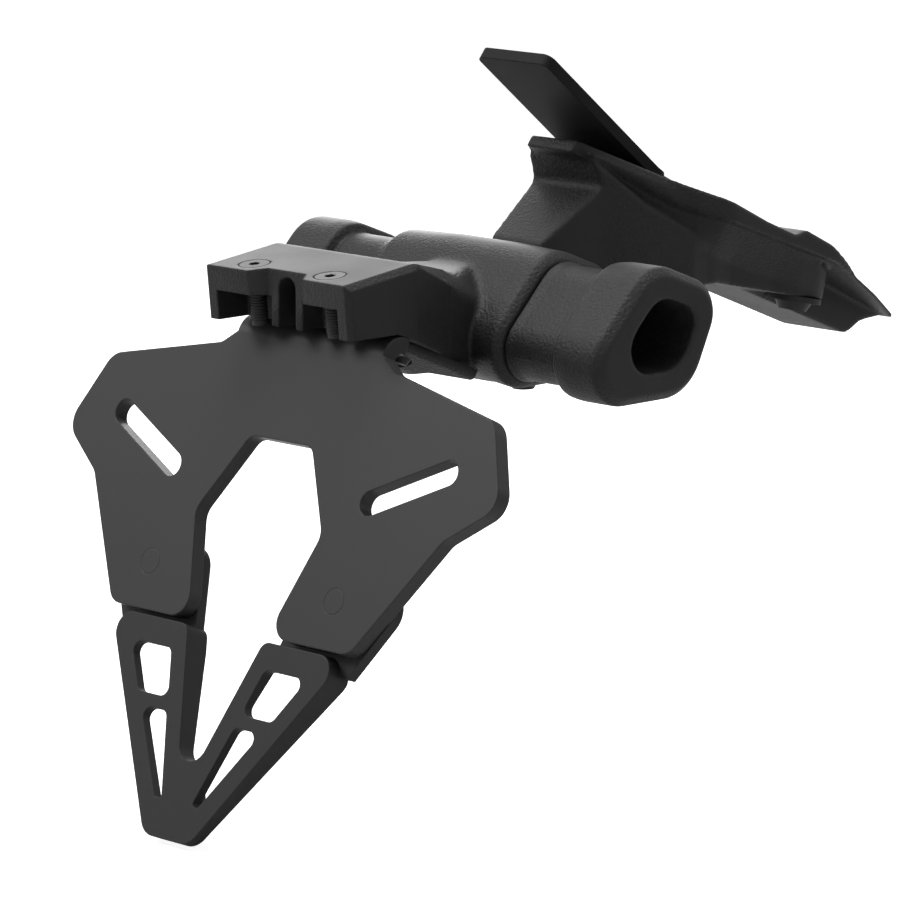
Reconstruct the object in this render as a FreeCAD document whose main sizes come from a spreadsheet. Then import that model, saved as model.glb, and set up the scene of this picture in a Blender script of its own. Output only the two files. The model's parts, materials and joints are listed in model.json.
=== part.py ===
import FreeCAD, Part
import math
import os

import Sketcher

Vector = FreeCAD.Vector

# Tail tidy: a bracket for the number plate hangs from a moulded arm, whose cross tube
# carries an indicator at each end and whose base bolts under the tail of the motorbike.
# Layout: X to the right, Y forward along the motorbike, Z up. Depths are measured forward
# from the lower end of the extension and heights up from it. The finished part has its
# origin in the middle between the two base bolts, on the face that meets the motorbike.
# "Along" and "out" belong to the tilted number plate: along runs up the plate, out runs
# forward from its front face.
dimensions = {
    # number plate bracket, sheet aluminium
    "plateTilt": 22.7,
    "plateThickness": 4.1,
    "plateTopHalf": 67.0,
    "plateTopAlong": 112.6,
    "plateWidestHalf": 76.0,
    "plateWidestAlong": 93.15,
    "plateWaistHalf": 61.5,
    "plateWaistAlong": 82.9,
    "legOuterHalf": 41.9,
    "legInnerHalf": 13.8,
    "legAlong": 52.35,
    "cutWidestHalf": 22.25,
    "cutWidestAlong": 78.7,
    "cutTopHalf": 10.75,
    "cutTopAlong": 98.9,
    "neckShoulderHalf": 30.0,
    "neckShoulderAlong": 120.0,
    "neckShoulderCorner": 4.0,
    "neckHalf": 25.5,
    "plateCorner": 6.0,
    "legCorner": 5.0,
    "cutTopCorner": 3.5,
    "foldAlong": 129.4,
    "foldOuter": 6.0,
    "foldLap": 1.0,
    "tabHalf": 12.6,
    "tabOut": 20.5,
    "tabCorner": 3.0,
    "slotOuterHalf": 57.0,
    "slotOuterAlong": 98.8,
    "slotInnerHalf": 34.9,
    "slotInnerAlong": 88.35,
    "slotBore": 3.1,
    # lower extension
    "extensionGap": 1.15,
    "extensionTopHalf": 41.26,
    "extensionInnerHalf": 13.5,
    "extensionInnerCorner": 3.0,
    "extensionTipHalf": 8.02,
    "extensionForkAlong": 8.68,
    "extensionCorner": 4.5,
    "extensionTipCorner": 5.6,
    "extensionForkCorner": 4.66,
    "extensionDepth": 7.0,
    "extensionTipDepth": 3.0,
    "extensionTaperAlong": 46.0,
    "extensionWeb": 2.4,
    "extensionRim": 1.2,
    "recessLowAlong": 8.4,
    "recessLowWidth": 4.8,
    "recessForkGap": 6.5,
    "recessCorner": 1.2,
    "lapAlong": 70.5,
    "lapOuterHalf": 53.2,
    "lapInnerHalf": 19.9,
    "lapJoin": 4.0,
    "lapJoinInnerHalf": 13.8,
    "lapJoinOuterHalf": 39.66,
    "lapCorner": 6.0,
    "windowTopAlong": 44.75,
    "windowTopOuterHalf": 31.2,
    "windowTopInnerHalf": 16.7,
    "windowLowAlong": 32.95,
    "windowLowOuterHalf": 23.7,
    "windowLowInnerHalf": 12.9,
    "windowCorner": 2.2,
    "triangleAlong": 29.8,
    "triangleOuterHalf": 21.4,
    "triangleInnerHalf": 12.1,
    "triangleTipInnerHalf": 5.3,
    "triangleTipOuterHalf": 7.7,
    "triangleTipAlong": 9.2,
    "triangleCorner": 0.9,
    # studs that join the extension to the bracket
    "studHalf": 32.5,
    "studAlong": 64.0,
    "studHeadRadius": 3.2,
    "studHeadDepth": 2.0,
    "studRadius": 2.0,
    "studEnd": 13.0,
    "studNutFlats": 7.0,
    "studNutDepth": 3.2,
    "studWasherRadius": 4.5,
    "studWasherDepth": 0.8,
    # head and arm, moulded in one with the cross tube and the base
    "armHalf": 25.2,
    "armWaistHalf": 13.9,
    "headLowFront": 37.5,
    "headLow": 118.2,
    "headTopFront": 36.2,
    "headTopFrontHeight": 131.45,
    "headRidge": 59.2,
    "headRidgeHeight": 134.4,
    "headRidgeCorner": 6.0,
    "armTopEnd": 84.0,
    "armTopEndHeight": 128.4,
    "armInside": 97.0,
    "armEdge": 1.5,
    "headCorner": 1.2,
    "facetStart": 0.5,
    "facetEndHalf": 6.7,
    "facetEndHeight": 126.0,
    "facetLean": 50.0,
    "facetRun": 16.0,
    "notchFrontHalf": 9.88,
    "notchBackHalf": 6.72,
    "notchDepth": 40.35,
    "archHalf": 3.0,
    "archRoundness": 0.997,
    "archTop": 130.6,
    "jambHalf": 5.4,
    "pocketBack": 47.0,
    "pocketRoof": 125.5,
    "pocketOuterHalf": 21.1,
    # cross tube for the indicators: corners of its opening
    "tubeTop": 104.4,
    "tubeTopHeight": 126.3,
    "tubeFront": 118.6,
    "tubeFrontHeight": 120.8,
    "tubeLowFront": 112.1,
    "tubeLowBack": 85.4,
    "tubeLowHeight": 107.2,
    "tubeTopCorner": 5.0,
    "tubeFrontCorner": 2.0,
    "tubeLowFrontCorner": 6.0,
    "tubeLowBackCorner": 3.5,
    "sleeveWall": 7.1,
    "sleeveWaist": 0.7,
    "sleeveLift": 1.35,
    "sleeveFlat": 9.0,
    "sleeveHalf": 27.7,
    "sleeveEdge": 1.9,
    "sleeveBoreWall": 3.6,
    "seamGroove": 0.3,
    "seamDepth": 1.2,
    "neckWall": 5.2,
    "neckEnd": 44.0,
    "bossStart": 48.0,
    "bossEnd": 60.0,
    "mountEnd": 61.8,
    "bossBevel": 2.2,
    "openingSide": 0.2,
    "openingCorner": 3.0,
    "spigotEnd": 12.0,
    "spigotClearance": 0.15,
    "spigotWall": 2.6,
    # base under the tail
    "mountDepth": 203.3,
    "mountHeight": 123.62,
    "baseTilt": 26.1,
    "flangeRear": 131.0,
    "flangeRearHalf": 8.4,
    "flangeHeelHalf": 8.0,
    "flangeMid": 154.0,
    "flangeMidHalf": 20.4,
    "flangeElbow": 163.4,
    "flangeElbowHalf": 30.2,
    "flangeShoulder": 206.0,
    "flangeFront": 228.1,
    "flangeFrontHalf": 21.6,
    "flangeTip": 245.0,
    "flangeTipHalf": 13.1,
    "flangeMidCorner": 16.0,
    "flangeElbowCorner": 5.0,
    "flangeShoulderCorner": 22.0,
    "flangeFrontCorner": 30.0,
    "flangeTipCorner": 2.0,
    "flangeThick": 5.8,
    "flangeThickDepth": 160.0,
    "flangeHeel": 2.1,
    "flangeHeelThick": 2.6,
    "flangeLowDepth": 204.0,
    "flangeShoulderLow": 217.0,
    "flangeTipThick": 1.2,
    "flangeWaistThick": 0.3,
    "padStart": 187.0,
    "padRear": 192.0,
    "padFront": 201.5,
    "padEnd": 215.0,
    "padRise": 3.5,
    "skirtHalf": 24.0,
    "skirtRootHalf": 16.0,
    "skirtRear": 150.0,
    "skirtKnee": 168.0,
    "skirtFront": 205.0,
    "skirtDrop": 17.8,
    "skirtOverlap": 2.0,
    "keelHalf": 10.8,
    "keelFront": 229.2,
    "keelFrontHeight": 96.2,
    "keelTilt": 21.8,
    "keelBack": 180.0,
    "keelCorner": 4.0,
    "keelNose": 234.7,
    "keelNoseDrop": 6.0,
    "keelNoseCorner": 6.0,
    "keelTip": 244.0,
    "keelTipDrop": 0.8,
    "podHalf": 26.5,
    "podTilt": 12.25,
    "podHeight": 10.63,
    "podFront": 209.5,
    "podBack": 165.0,
    "podCorner": 9.0,
    "podBackCorner": 20.0,
    "podBackFlare": 12.0,
    "footHalf": 7.3,
    "footDepth": 117.5,
    "footHeight": 131.5,
    "footRoot": 123.5,
    "footToe": 111.5,
    "footToeHeight": 115.0,
    "creaseHalf": 12.0,
    "creaseDepth": 135.9,
    "creaseHeight": 143.8,
    "creaseCorner": 2.0,
    "creaseFlare": 20.0,
    "stemSink": 1.5,
    "bellyDepth": 124.0,
    "bellyHeight": 111.0,
    # bolts through the base
    "baseBoltHalf": 18.0,
    "baseBoltRadius": 3.0,
    "baseBoltHead": 4.75,
    "baseBoltHeadHeight": 2.2,
    "baseBoltHex": 4.0,
    "baseWasherRadius": 7.1,
    "baseWasherHeight": 1.4,
    "baseSleeveRadius": 4.6,
    "baseSleeveRise": 3.0,
    "baseCollarRadius": 7.5,
    "baseCollarGap": 2.0,
    "baseBoltRise": 2.0,
    "boltClearance": 0.25,
    "screwCrown": 0.5,
    "socketShare": 0.7,
    # strip on top of the base
    "stripHalf": 12.0,
    "stripTongueHalf": 8.5,
    "stripShoulder": 161.0,
    "stripShoulderCorner": 5.0,
    "stripThick": 3.0,
    "stripTop": 115.2,
    "stripBend": 154.8,
    "stripTilt": 39.0,
    "stripEnd": 182.0,
    "stripCorner": 2.4,
    "stripBendInner": 9.0,
    "stripRearHole": 167.0,
    "stripFrontHole": 177.0,
    "stripScrewRadius": 2.0,
    "stripScrewHead": 3.8,
    "stripScrewHeadHeight": 2.2,
    "stripScrewHex": 2.5,
    "stripInsertLength": 4.2,
    # screws in the top of the head
    "lampScrewHalf": 13.26,
    "lampScrewDepth": 41.93,
    "lampScrewRadius": 2.0,
    "lampScrewHead": 3.7,
    "lampScrewGap": 0.3,
    "screwRim": 0.6,
    "lampScrewHeadHeight": 2.2,
    "lampScrewHex": 2.5,
    "lampScrewLength": 15.0,
    "insertFlats": 5.5,
    "lampInsertLength": 3.4,
    "lampInsertDrop": 0.5,
    # bolts that hold the folded tab under the arm
    "tabBoltHalf": 6.0,
    "tabBoltOut": 14.0,
    "tabBoltRadius": 2.0,
    "tabBoltHead": 3.8,
    "tabBoltHeadHeight": 2.2,
    "tabBoltHex": 2.5,
    "tabBoltLength": 12.6,
    "tabWasherRadius": 4.5,
    "tabWasherHeight": 0.8,
    "tabInsertLength": 8.0,
    # cover under the arm
    "coverHalf": 21.9,
    "coverOutStart": 8.0,
    "coverOutEnd": 35.2,
    "coverStep": 22.4,
    "coverRise": 1.6,
    "coverMid": 24.8,
    "coverEndDepth": 2.3,
    "coverDepth": 6.0,
    "coverFlank": 2.2,
    "coverBellyHalf": 13.0,
    "coverFlankCorner": 1.5,
    "coverBellyCorner": 9.0,
    "coverGap": 0.6,
    "coverSeatWall": 2.6,
    "coverWall": 1.6,
    "coverScrewHalf": 16.2,
    "coverScrewOut": 14.6,
    "coverScrewRadius": 1.25,
    "coverScrewHead": 2.7,
    "coverScrewHeadHeight": 1.6,
    "coverScrewHex": 1.5,
    "coverScrewLength": 6.4,
    # screws that hold the indicator mounts in the cross tube
    "mountScrewHalf": 19.0,
    "mountScrewDepth": 101.0,
    "mountScrewRadius": 2.0,
    "mountScrewHead": 3.8,
    "mountScrewHeadHeight": 2.2,
    "mountScrewLength": 8.6,
    "mountSeatDepth": 0.8,
    "mountSeatGap": 0.5,
    "mountScrewHex": 2.5,
}

document = FreeCAD.newDocument("TailTidy")
sheet = document.addObject("Spreadsheet::Sheet", "Dimensions")
for row, (alias, amount) in enumerate(dimensions.items(), 1):
    sheet.set("A" + str(row), alias)
    sheet.set("B" + str(row), str(amount))
    sheet.setAlias("B" + str(row), alias)
document.recompute()


class Size:
    """A length or angle known both as a number and as an expression on the sheet."""

    def __init__(self, text, number):
        self.text = text
        self.number = number

    def __add__(self, other):
        other = size(other)
        return Size("(" + self.text + " + " + other.text + ")", self.number + other.number)

    def __sub__(self, other):
        other = size(other)
        return Size("(" + self.text + " - " + other.text + ")", self.number - other.number)

    def __mul__(self, other):
        other = size(other)
        return Size("(" + self.text + " * " + other.text + ")", self.number * other.number)

    def __truediv__(self, other):
        other = size(other)
        return Size("(" + self.text + " / " + other.text + ")", self.number / other.number)

    def __neg__(self):
        return Size("(-1 * " + self.text + ")", -self.number)


def size(source):
    if isinstance(source, Size):
        return source
    if isinstance(source, str):
        return Size("Dimensions." + source, float(getattr(sheet, source)))
    return Size(str(source), float(source))


def sine(angle):
    return Size("sin(" + angle.text + ")", math.sin(math.radians(angle.number)))


def cosine(angle):
    return Size("cos(" + angle.text + ")", math.cos(math.radians(angle.number)))


def tangent(angle):
    return Size("tan(" + angle.text + ")", math.tan(math.radians(angle.number)))


def mirrored(corners):
    return [(-size(corner[0]),) + tuple(corner[1:]) for corner in corners]


def symmetric(corners):
    return list(corners) + list(reversed(mirrored(corners)))


def bind(owner, path, amount):
    owner.setExpression(path, size(amount).text)


def unitVector(start, end):
    return (end - start).normalize()


def drawOutline(sketch, corners):
    """Closed outline through the corners (across, up, radius), each corner rounded."""
    points = [Vector(size(c[0]).number, size(c[1]).number, 0) for c in corners]
    radii = [size(c[2]) if len(c) > 2 else None for c in corners]
    count = len(points)
    entries = []
    for i in range(count):
        corner = points[i]
        if radii[i] is None:
            entries.append((corner, corner, None))
            continue
        back = unitVector(corner, points[i - 1])
        ahead = unitVector(corner, points[(i + 1) % count])
        half = back.getAngle(ahead) / 2
        reach = radii[i].number / math.tan(half)
        centre = corner + (back + ahead).normalize() * (radii[i].number / math.sin(half))
        entries.append((corner + back * reach, corner + ahead * reach, centre))
    lines = []
    for i in range(count):
        start = entries[i][1]
        end = entries[(i + 1) % count][0]
        lines.append(sketch.addGeometry(Part.LineSegment(start, end), False))
    for i in range(count):
        before = lines[i - 1]
        after = lines[i]
        enter, leave, centre = entries[i]
        across = size(corners[i][0])
        up = size(corners[i][1])
        if centre is None:
            sketch.addConstraint(Sketcher.Constraint("Coincident", before, 2, after, 1))
            placePoint(sketch, after, 1, across, up)
            continue
        turn = (enter - centre).cross(leave - centre).z
        first = enter if turn > 0 else leave
        last = leave if turn > 0 else enter
        circle = Part.Circle(centre, Vector(0, 0, 1), radii[i].number)
        startAngle = math.atan2(first.y - centre.y, first.x - centre.x)
        endAngle = math.atan2(last.y - centre.y, last.x - centre.x)
        arc = sketch.addGeometry(Part.ArcOfCircle(circle, startAngle, endAngle), False)
        enterEnd = 1 if turn > 0 else 2
        sketch.addConstraint(Sketcher.Constraint("Tangent", before, 2, arc, enterEnd))
        sketch.addConstraint(Sketcher.Constraint("Tangent", after, 1, arc, 3 - enterEnd))
        radius = sketch.addConstraint(Sketcher.Constraint("Radius", arc, radii[i].number))
        bind(sketch, "Constraints[" + str(radius) + "]", radii[i])
        vertex = sketch.addGeometry(Part.Point(points[i]), True)
        sketch.addConstraint(Sketcher.Constraint("PointOnObject", vertex, 1, before))
        sketch.addConstraint(Sketcher.Constraint("PointOnObject", vertex, 1, after))
        placePoint(sketch, vertex, 1, across, up)


def placePoint(sketch, element, end, across, up):
    for kind, amount in (("DistanceX", across), ("DistanceY", up)):
        index = sketch.addConstraint(Sketcher.Constraint(kind, -1, 1, element, end, amount.number))
        bind(sketch, "Constraints[" + str(index) + "]", amount)


def drawCircle(sketch, across, up, radius):
    centre = Vector(size(across).number, size(up).number, 0)
    circle = Part.Circle(centre, Vector(0, 0, 1), size(radius).number)
    element = sketch.addGeometry(circle, False)
    placePoint(sketch, element, 3, size(across), size(up))
    index = sketch.addConstraint(Sketcher.Constraint("Radius", element, size(radius).number))
    bind(sketch, "Constraints[" + str(index) + "]", radius)


def drawSlot(sketch, firstAcross, firstUp, lastAcross, lastUp, radius):
    """Slot between two end centres."""
    first = Vector(size(firstAcross).number, size(firstUp).number, 0)
    last = Vector(size(lastAcross).number, size(lastUp).number, 0)
    reach = size(radius).number
    along = unitVector(first, last)
    side = Vector(-along.y, along.x, 0)
    heading = math.atan2(side.y, side.x)
    up = Vector(0, 0, 1)
    firstArc = Part.ArcOfCircle(Part.Circle(first, up, reach), heading, heading + math.pi)
    lastArc = Part.ArcOfCircle(Part.Circle(last, up, reach), heading + math.pi, heading + 2 * math.pi)
    near = sketch.addGeometry(firstArc, False)
    far = sketch.addGeometry(lastArc, False)
    low = sketch.addGeometry(Part.LineSegment(first - side * reach, last - side * reach), False)
    high = sketch.addGeometry(Part.LineSegment(last + side * reach, first + side * reach), False)
    sketch.addConstraint(Sketcher.Constraint("Tangent", near, 2, low, 1))
    sketch.addConstraint(Sketcher.Constraint("Tangent", low, 2, far, 1))
    sketch.addConstraint(Sketcher.Constraint("Tangent", far, 2, high, 1))
    sketch.addConstraint(Sketcher.Constraint("Tangent", high, 2, near, 1))
    placePoint(sketch, near, 3, size(firstAcross), size(firstUp))
    placePoint(sketch, far, 3, size(lastAcross), size(lastUp))
    index = sketch.addConstraint(Sketcher.Constraint("Radius", near, reach))
    bind(sketch, "Constraints[" + str(index) + "]", radius)


def drawHexagon(sketch, flats):
    """Regular hexagon about the sketch origin, given across its flats."""
    reach = size(flats) / 2 / cosine(size(30))
    points = []
    for i in range(6):
        turn = size(60 * i)
        points.append((reach * cosine(turn), reach * sine(turn)))
    drawOutline(sketch, points)


def placeBody(body, across=0, depth=0, height=0, tilt=0, turnAxis=Vector(1, 0, 0)):
    """Body placed by expressions and turned about one axis by an angle in degrees."""
    body.Placement = FreeCAD.Placement(Vector(0, 0, 0), FreeCAD.Rotation(turnAxis, 0))
    body.setExpression(".Placement.Rotation.Axis.x", str(turnAxis.x))
    body.setExpression(".Placement.Rotation.Axis.y", str(turnAxis.y))
    body.setExpression(".Placement.Rotation.Axis.z", str(turnAxis.z))
    bind(body, ".Placement.Rotation.Angle", tilt)
    bind(body, ".Placement.Base.x", across)
    bind(body, ".Placement.Base.y", depth)
    bind(body, ".Placement.Base.z", height)


def makeBody(name, **place):
    body = document.addObject("PartDesign::Body", name)
    placeBody(body, **place)
    return body


def makeSketch(body, name, plane, offset=0):
    """Sketch on one of the body's own planes, moved along that plane's normal."""
    sketch = body.newObject("Sketcher::SketchObject", name)
    for feature in body.Origin.OriginFeatures:
        if feature.Role == plane:
            sketch.AttachmentSupport = [(feature, "")]
    sketch.MapMode = "FlatFace"
    bind(sketch, ".AttachmentOffset.Base.z", offset)
    return sketch


def addPad(body, sketch, length, symmetricAbout=False, reverse=False):
    pad = body.newObject("PartDesign::Pad", sketch.Name + "Pad")
    pad.Profile = sketch
    pad.SideType = "Symmetric" if symmetricAbout else "One side"
    pad.Reversed = reverse
    bind(pad, "Length", length)
    body.Tip = pad
    return pad


def addPocket(body, sketch, length, symmetricAbout=False, reverse=False):
    pocket = body.newObject("PartDesign::Pocket", sketch.Name + "Pocket")
    pocket.Profile = sketch
    pocket.SideType = "Symmetric" if symmetricAbout else "One side"
    pocket.Reversed = reverse
    bind(pocket, "Length", length)
    body.Tip = pocket
    return pocket


def addRevolution(body, sketch):
    turned = body.newObject("PartDesign::Revolution", sketch.Name + "Turned")
    turned.Profile = sketch
    turned.ReferenceAxis = (sketch, ["V_Axis"])
    turned.Angle = 360
    body.Tip = turned
    return turned


def edgesWhere(shape, test):
    names = []
    for i, edge in enumerate(shape.Edges, 1):
        if test(edge):
            names.append("Edge" + str(i))
    return names


def dressEdges(body, kind, name, test, amount):
    """Chamfer or fillet on the edges of the body's last feature that pass a test."""
    document.recompute()
    base = body.Tip
    names = edgesWhere(base.Shape, test)
    dress = body.newObject(kind, name)
    dress.Base = (base, names)
    bind(dress, "Radius" if kind.endswith("Fillet") else "Size", amount)
    body.Tip = dress


def joinPieces(kind, label, shapes):
    joined = document.addObject(kind, label)
    if kind == "Part::Compound":
        joined.Links = shapes
    else:
        joined.Shapes = shapes
    return joined


def mirrorPiece(source, name):
    """Copy of a piece on the left side of the object."""
    copy = document.addObject("Part::Mirroring", name)
    copy.Source = source
    copy.Base = Vector(0, 0, 0)
    copy.Normal = Vector(1, 0, 0)
    return copy


def pairOf(label, source):
    return joinPieces("Part::Compound", label, [source, mirrorPiece(source, label + "LeftSide")])


# reaches of cutting bodies: across the whole object, through a wall, past a face
through = size(400)
wide = size(90)
overrun = size(3)
plateFrame = {"depth": -size("mountDepth"), "height": -size("mountHeight"), "tilt": -size("plateTilt")}
levelFrame = {"depth": -size("mountDepth"), "height": -size("mountHeight")}


def platePoint(along, out):
    """Depth and height in the finished frame of a point given on the number plate."""
    lean = size("plateTilt")
    depth = size(along) * sine(lean) + size(out) * cosine(lean) - "mountDepth"
    height = size(along) * cosine(lean) - size(out) * sine(lean) - "mountHeight"
    return {"depth": depth, "height": height}


def ringPocket(body, name, corners, reach):
    """Cut away everything outside an outline seen from above."""
    sketch = makeSketch(body, name, "XY_Plane")
    far = size("flangeTip") + "flangeElbowHalf"
    drawOutline(sketch, [(reach, 0), (reach, far), (-size(reach), far), (-size(reach), 0)])
    drawOutline(sketch, corners)
    addPocket(body, sketch, through, symmetricAbout=True)


# Number plate bracket: flat sheet with a wide cut-out between two legs, folded forward
# at the top into a tab that lies under the arm.
bracket = makeBody("bracket", **plateFrame)
bracket.Label = "number_plate_bracket"
foldInner = size("foldOuter") - "plateThickness"
flatTop = size("foldAlong") - "foldOuter"
sketch = makeSketch(bracket, "bracketOutline", "XZ_Plane")
half = [
    ("neckHalf", flatTop),
    ("neckShoulderHalf", "neckShoulderAlong", "neckShoulderCorner"),
    ("plateTopHalf", "plateTopAlong", "plateCorner"),
    ("plateWidestHalf", "plateWidestAlong", "plateCorner"),
    ("plateWaistHalf", "plateWaistAlong", "legCorner"),
    ("legOuterHalf", "legAlong", "legCorner"),
    ("legInnerHalf", "legAlong", "legCorner"),
    ("cutWidestHalf", "cutWidestAlong", "legCorner"),
    ("cutTopHalf", "cutTopAlong", "cutTopCorner"),
]
drawOutline(sketch, symmetric(half))
addPad(bracket, sketch, "plateThickness", reverse=True)
sketch = makeSketch(bracket, "bracketFold", "YZ_Plane")
foldEnd = size("foldOuter") + "foldLap"
profile = [
    (0, flatTop - "foldLap"),
    (0, "foldAlong", "foldOuter"),
    (foldEnd, "foldAlong"),
    (foldEnd, size("foldAlong") - "plateThickness"),
    ("plateThickness", size("foldAlong") - "plateThickness", foldInner),
    ("plateThickness", flatTop - "foldLap"),
]
drawOutline(sketch, profile)
addPad(bracket, sketch, size("neckHalf") * 2, symmetricAbout=True)
sketch = makeSketch(bracket, "bracketTab", "XY_Plane", size("foldAlong") - "plateThickness")
tab = [
    ("tabHalf", "foldOuter"),
    ("tabHalf", "tabOut", "tabCorner"),
]
drawOutline(sketch, symmetric(tab))
addPad(bracket, sketch, "plateThickness")
sketch = makeSketch(bracket, "bracketSlots", "XZ_Plane")
for side in (1, -1):
    outer = size("slotOuterHalf") * side
    inner = size("slotInnerHalf") * side
    drawSlot(sketch, outer, "slotOuterAlong", inner, "slotInnerAlong", "slotBore")
    drawCircle(sketch, size("studHalf") * side, "studAlong", "studRadius")
addPocket(bracket, sketch, wide, symmetricAbout=True)
sketch = makeSketch(bracket, "bracketStudSeats", "XZ_Plane")
drawCircle(sketch, "studHalf", "studAlong", "studHeadRadius")
drawCircle(sketch, -size("studHalf"), "studAlong", "studHeadRadius")
addPocket(bracket, sketch, "studHeadDepth")
sketch = makeSketch(bracket, "bracketBoltHoles", "XY_Plane", "foldAlong")
drawCircle(sketch, "tabBoltHalf", "tabBoltOut", size("tabBoltRadius") + "boltClearance")
drawCircle(sketch, -size("tabBoltHalf"), "tabBoltOut", size("tabBoltRadius") + "boltClearance")
addPocket(bracket, sketch, size("plateThickness") * 2)

# Lower extension: thin moulding whose two windowed legs lap behind the legs of the
# bracket and taper in thickness towards the tip.
extension = makeBody("extension", **plateFrame)
extension.Label = "lower_extension"
extensionTop = size("legAlong") - "extensionGap"
sketch = makeSketch(extension, "extensionOutline", "XZ_Plane")
half = [
    ("extensionInnerHalf", extensionTop, "extensionInnerCorner"),
    ("extensionTopHalf", extensionTop, "extensionCorner"),
    ("extensionTipHalf", 0, "extensionTipCorner"),
]
outline = half + list(reversed(mirrored(half))) + [(0, "extensionForkAlong", "extensionForkCorner")]
drawOutline(sketch, outline)
addPad(extension, sketch, "extensionDepth", reverse=True)
sketch = makeSketch(extension, "extensionTaper", "YZ_Plane")
tipDepth = size("extensionTipDepth")
fullDepth = size("extensionDepth")
thinning = (fullDepth - tipDepth) / "extensionTaperAlong"
taper = [
    (tipDepth - thinning * overrun, -overrun),
    (fullDepth + overrun, -overrun),
    (fullDepth + overrun, "extensionTaperAlong"),
    (fullDepth, "extensionTaperAlong"),
]
drawOutline(sketch, taper)
addPocket(extension, sketch, through, symmetricAbout=True)
sketch = makeSketch(extension, "extensionLaps", "XZ_Plane", -size("plateThickness"))
lapCorners = [
    ("lapJoinInnerHalf", extensionTop - "lapJoin"),
    ("lapInnerHalf", "lapAlong", "lapCorner"),
    ("lapOuterHalf", "lapAlong", "lapCorner"),
    ("lapJoinOuterHalf", extensionTop - "lapJoin"),
]
drawOutline(sketch, lapCorners)
drawOutline(sketch, mirrored(lapCorners))
addPad(extension, sketch, fullDepth - "plateThickness", reverse=True)
sketch = makeSketch(extension, "extensionWindows", "XZ_Plane")
window = [
    ("windowTopOuterHalf", "windowTopAlong", "windowCorner"),
    ("windowTopInnerHalf", "windowTopAlong", "windowCorner"),
    ("windowLowInnerHalf", "windowLowAlong", "windowCorner"),
    ("windowLowOuterHalf", "windowLowAlong", "windowCorner"),
]
triangle = [
    ("triangleOuterHalf", "triangleAlong", "windowCorner"),
    ("triangleInnerHalf", "triangleAlong", "windowCorner"),
    ("triangleTipInnerHalf", "triangleTipAlong", "triangleCorner"),
    ("triangleTipOuterHalf", "triangleTipAlong", "triangleCorner"),
]
for opening in (window, triangle):
    drawOutline(sketch, opening)
    drawOutline(sketch, mirrored(opening))
addPocket(extension, sketch, wide, symmetricAbout=True)


def legOuter(along):
    """Outer edge of a leg of the extension at a place along it."""
    slant = (size("extensionTopHalf") - "extensionTipHalf") / extensionTop
    return size("extensionTipHalf") + slant * along


def legInner(along):
    """Edge of a leg of the extension towards the fork."""
    slant = size("extensionInnerHalf") / (extensionTop - "extensionForkAlong")
    return slant * (size(along) - "extensionForkAlong")


# the back is hollow around the windows, with a rim along both edges of each leg
recessTop = size("extensionTaperAlong")
recessFork = size("extensionForkAlong") + "recessForkGap"
recess = [
    (legOuter(recessTop) - "extensionRim", recessTop, "recessCorner"),
    (legInner(recessTop) + "extensionRim", recessTop, "recessCorner"),
    (legInner(recessFork) + "extensionRim", recessFork, "recessCorner"),
    (legOuter("recessLowAlong") - "extensionRim" - "recessLowWidth", "recessLowAlong", "recessCorner"),
    (legOuter("recessLowAlong") - "extensionRim", "recessLowAlong", "recessCorner"),
]
sketch = makeSketch(extension, "extensionRecess", "XZ_Plane", -size("extensionWeb"))
drawOutline(sketch, recess)
drawOutline(sketch, mirrored(recess))
addPocket(extension, sketch, "extensionDepth")
sketch = makeSketch(extension, "extensionStudHoles", "XZ_Plane")
drawCircle(sketch, "studHalf", "studAlong", size("studRadius") + "boltClearance")
drawCircle(sketch, -size("studHalf"), "studAlong", size("studRadius") + "boltClearance")
addPocket(extension, sketch, wide, symmetricAbout=True)


# Turned fasteners: the bearing face lies at the body's own origin, the head above it
# and the shank below.
def makeScrew(kind, place, length):
    """Button head screw of one of the kinds on the sheet."""
    body = makeBody(kind, **place)
    profile = makeSketch(body, kind + "Profile", "XZ_Plane")
    top = size(kind + "HeadHeight")
    corners = [
        (0, top),
        (size(kind + "Head") - top * "screwCrown", top),
        (kind + "Head", 0),
        (kind + "Radius", 0),
        (kind + "Radius", -size(length)),
        (0, -size(length)),
    ]
    drawOutline(profile, corners)
    addRevolution(body, profile)
    socket = makeSketch(body, kind + "Socket", "XY_Plane", top)
    drawHexagon(socket, kind + "Hex")
    addPocket(body, socket, top * "socketShare")
    return body


def makeCountersunk(name, place, kind, length):
    """Countersunk screw of one of the kinds, its flat top at the body's own origin."""
    body = makeBody(name, **place)
    profile = makeSketch(body, name + "Profile", "XZ_Plane")
    corners = [
        (0, 0),
        (kind + "Head", 0),
        (kind + "Head", -size("screwRim")),
        (kind + "Radius", -size(kind + "HeadHeight")),
        (kind + "Radius", -size(length)),
        (0, -size(length)),
    ]
    drawOutline(profile, corners)
    addRevolution(body, profile)
    socket = makeSketch(body, name + "Socket", "XY_Plane")
    drawHexagon(socket, kind + "Hex")
    addPocket(body, socket, size(kind + "HeadHeight") * "socketShare")
    return body


def makeRing(name, place, outer, inner, low, high):
    """Plain ring between two heights of the body's own frame."""
    body = makeBody(name, **place)
    profile = makeSketch(body, name + "Profile", "XZ_Plane")
    corners = [(inner, low), (outer, low), (outer, high), (inner, high)]
    drawOutline(profile, corners)
    addRevolution(body, profile)
    return body


def makeRod(name, place, radius, low, high):
    """Plain round rod, used to cut a bore."""
    body = makeBody(name, **place)
    profile = makeSketch(body, name + "Profile", "XZ_Plane")
    corners = [(0, low), (radius, low), (radius, high), (0, high)]
    drawOutline(profile, corners)
    addRevolution(body, profile)
    return body


def makeInsertSeat(name, place, low, high):
    """Hexagonal rod that cuts the seat of an insert."""
    body = makeBody(name, **place)
    outline = makeSketch(body, name + "Outline", "XY_Plane", low)
    drawHexagon(outline, "insertFlats")
    addPad(body, outline, size(high) - low)
    return body


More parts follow.
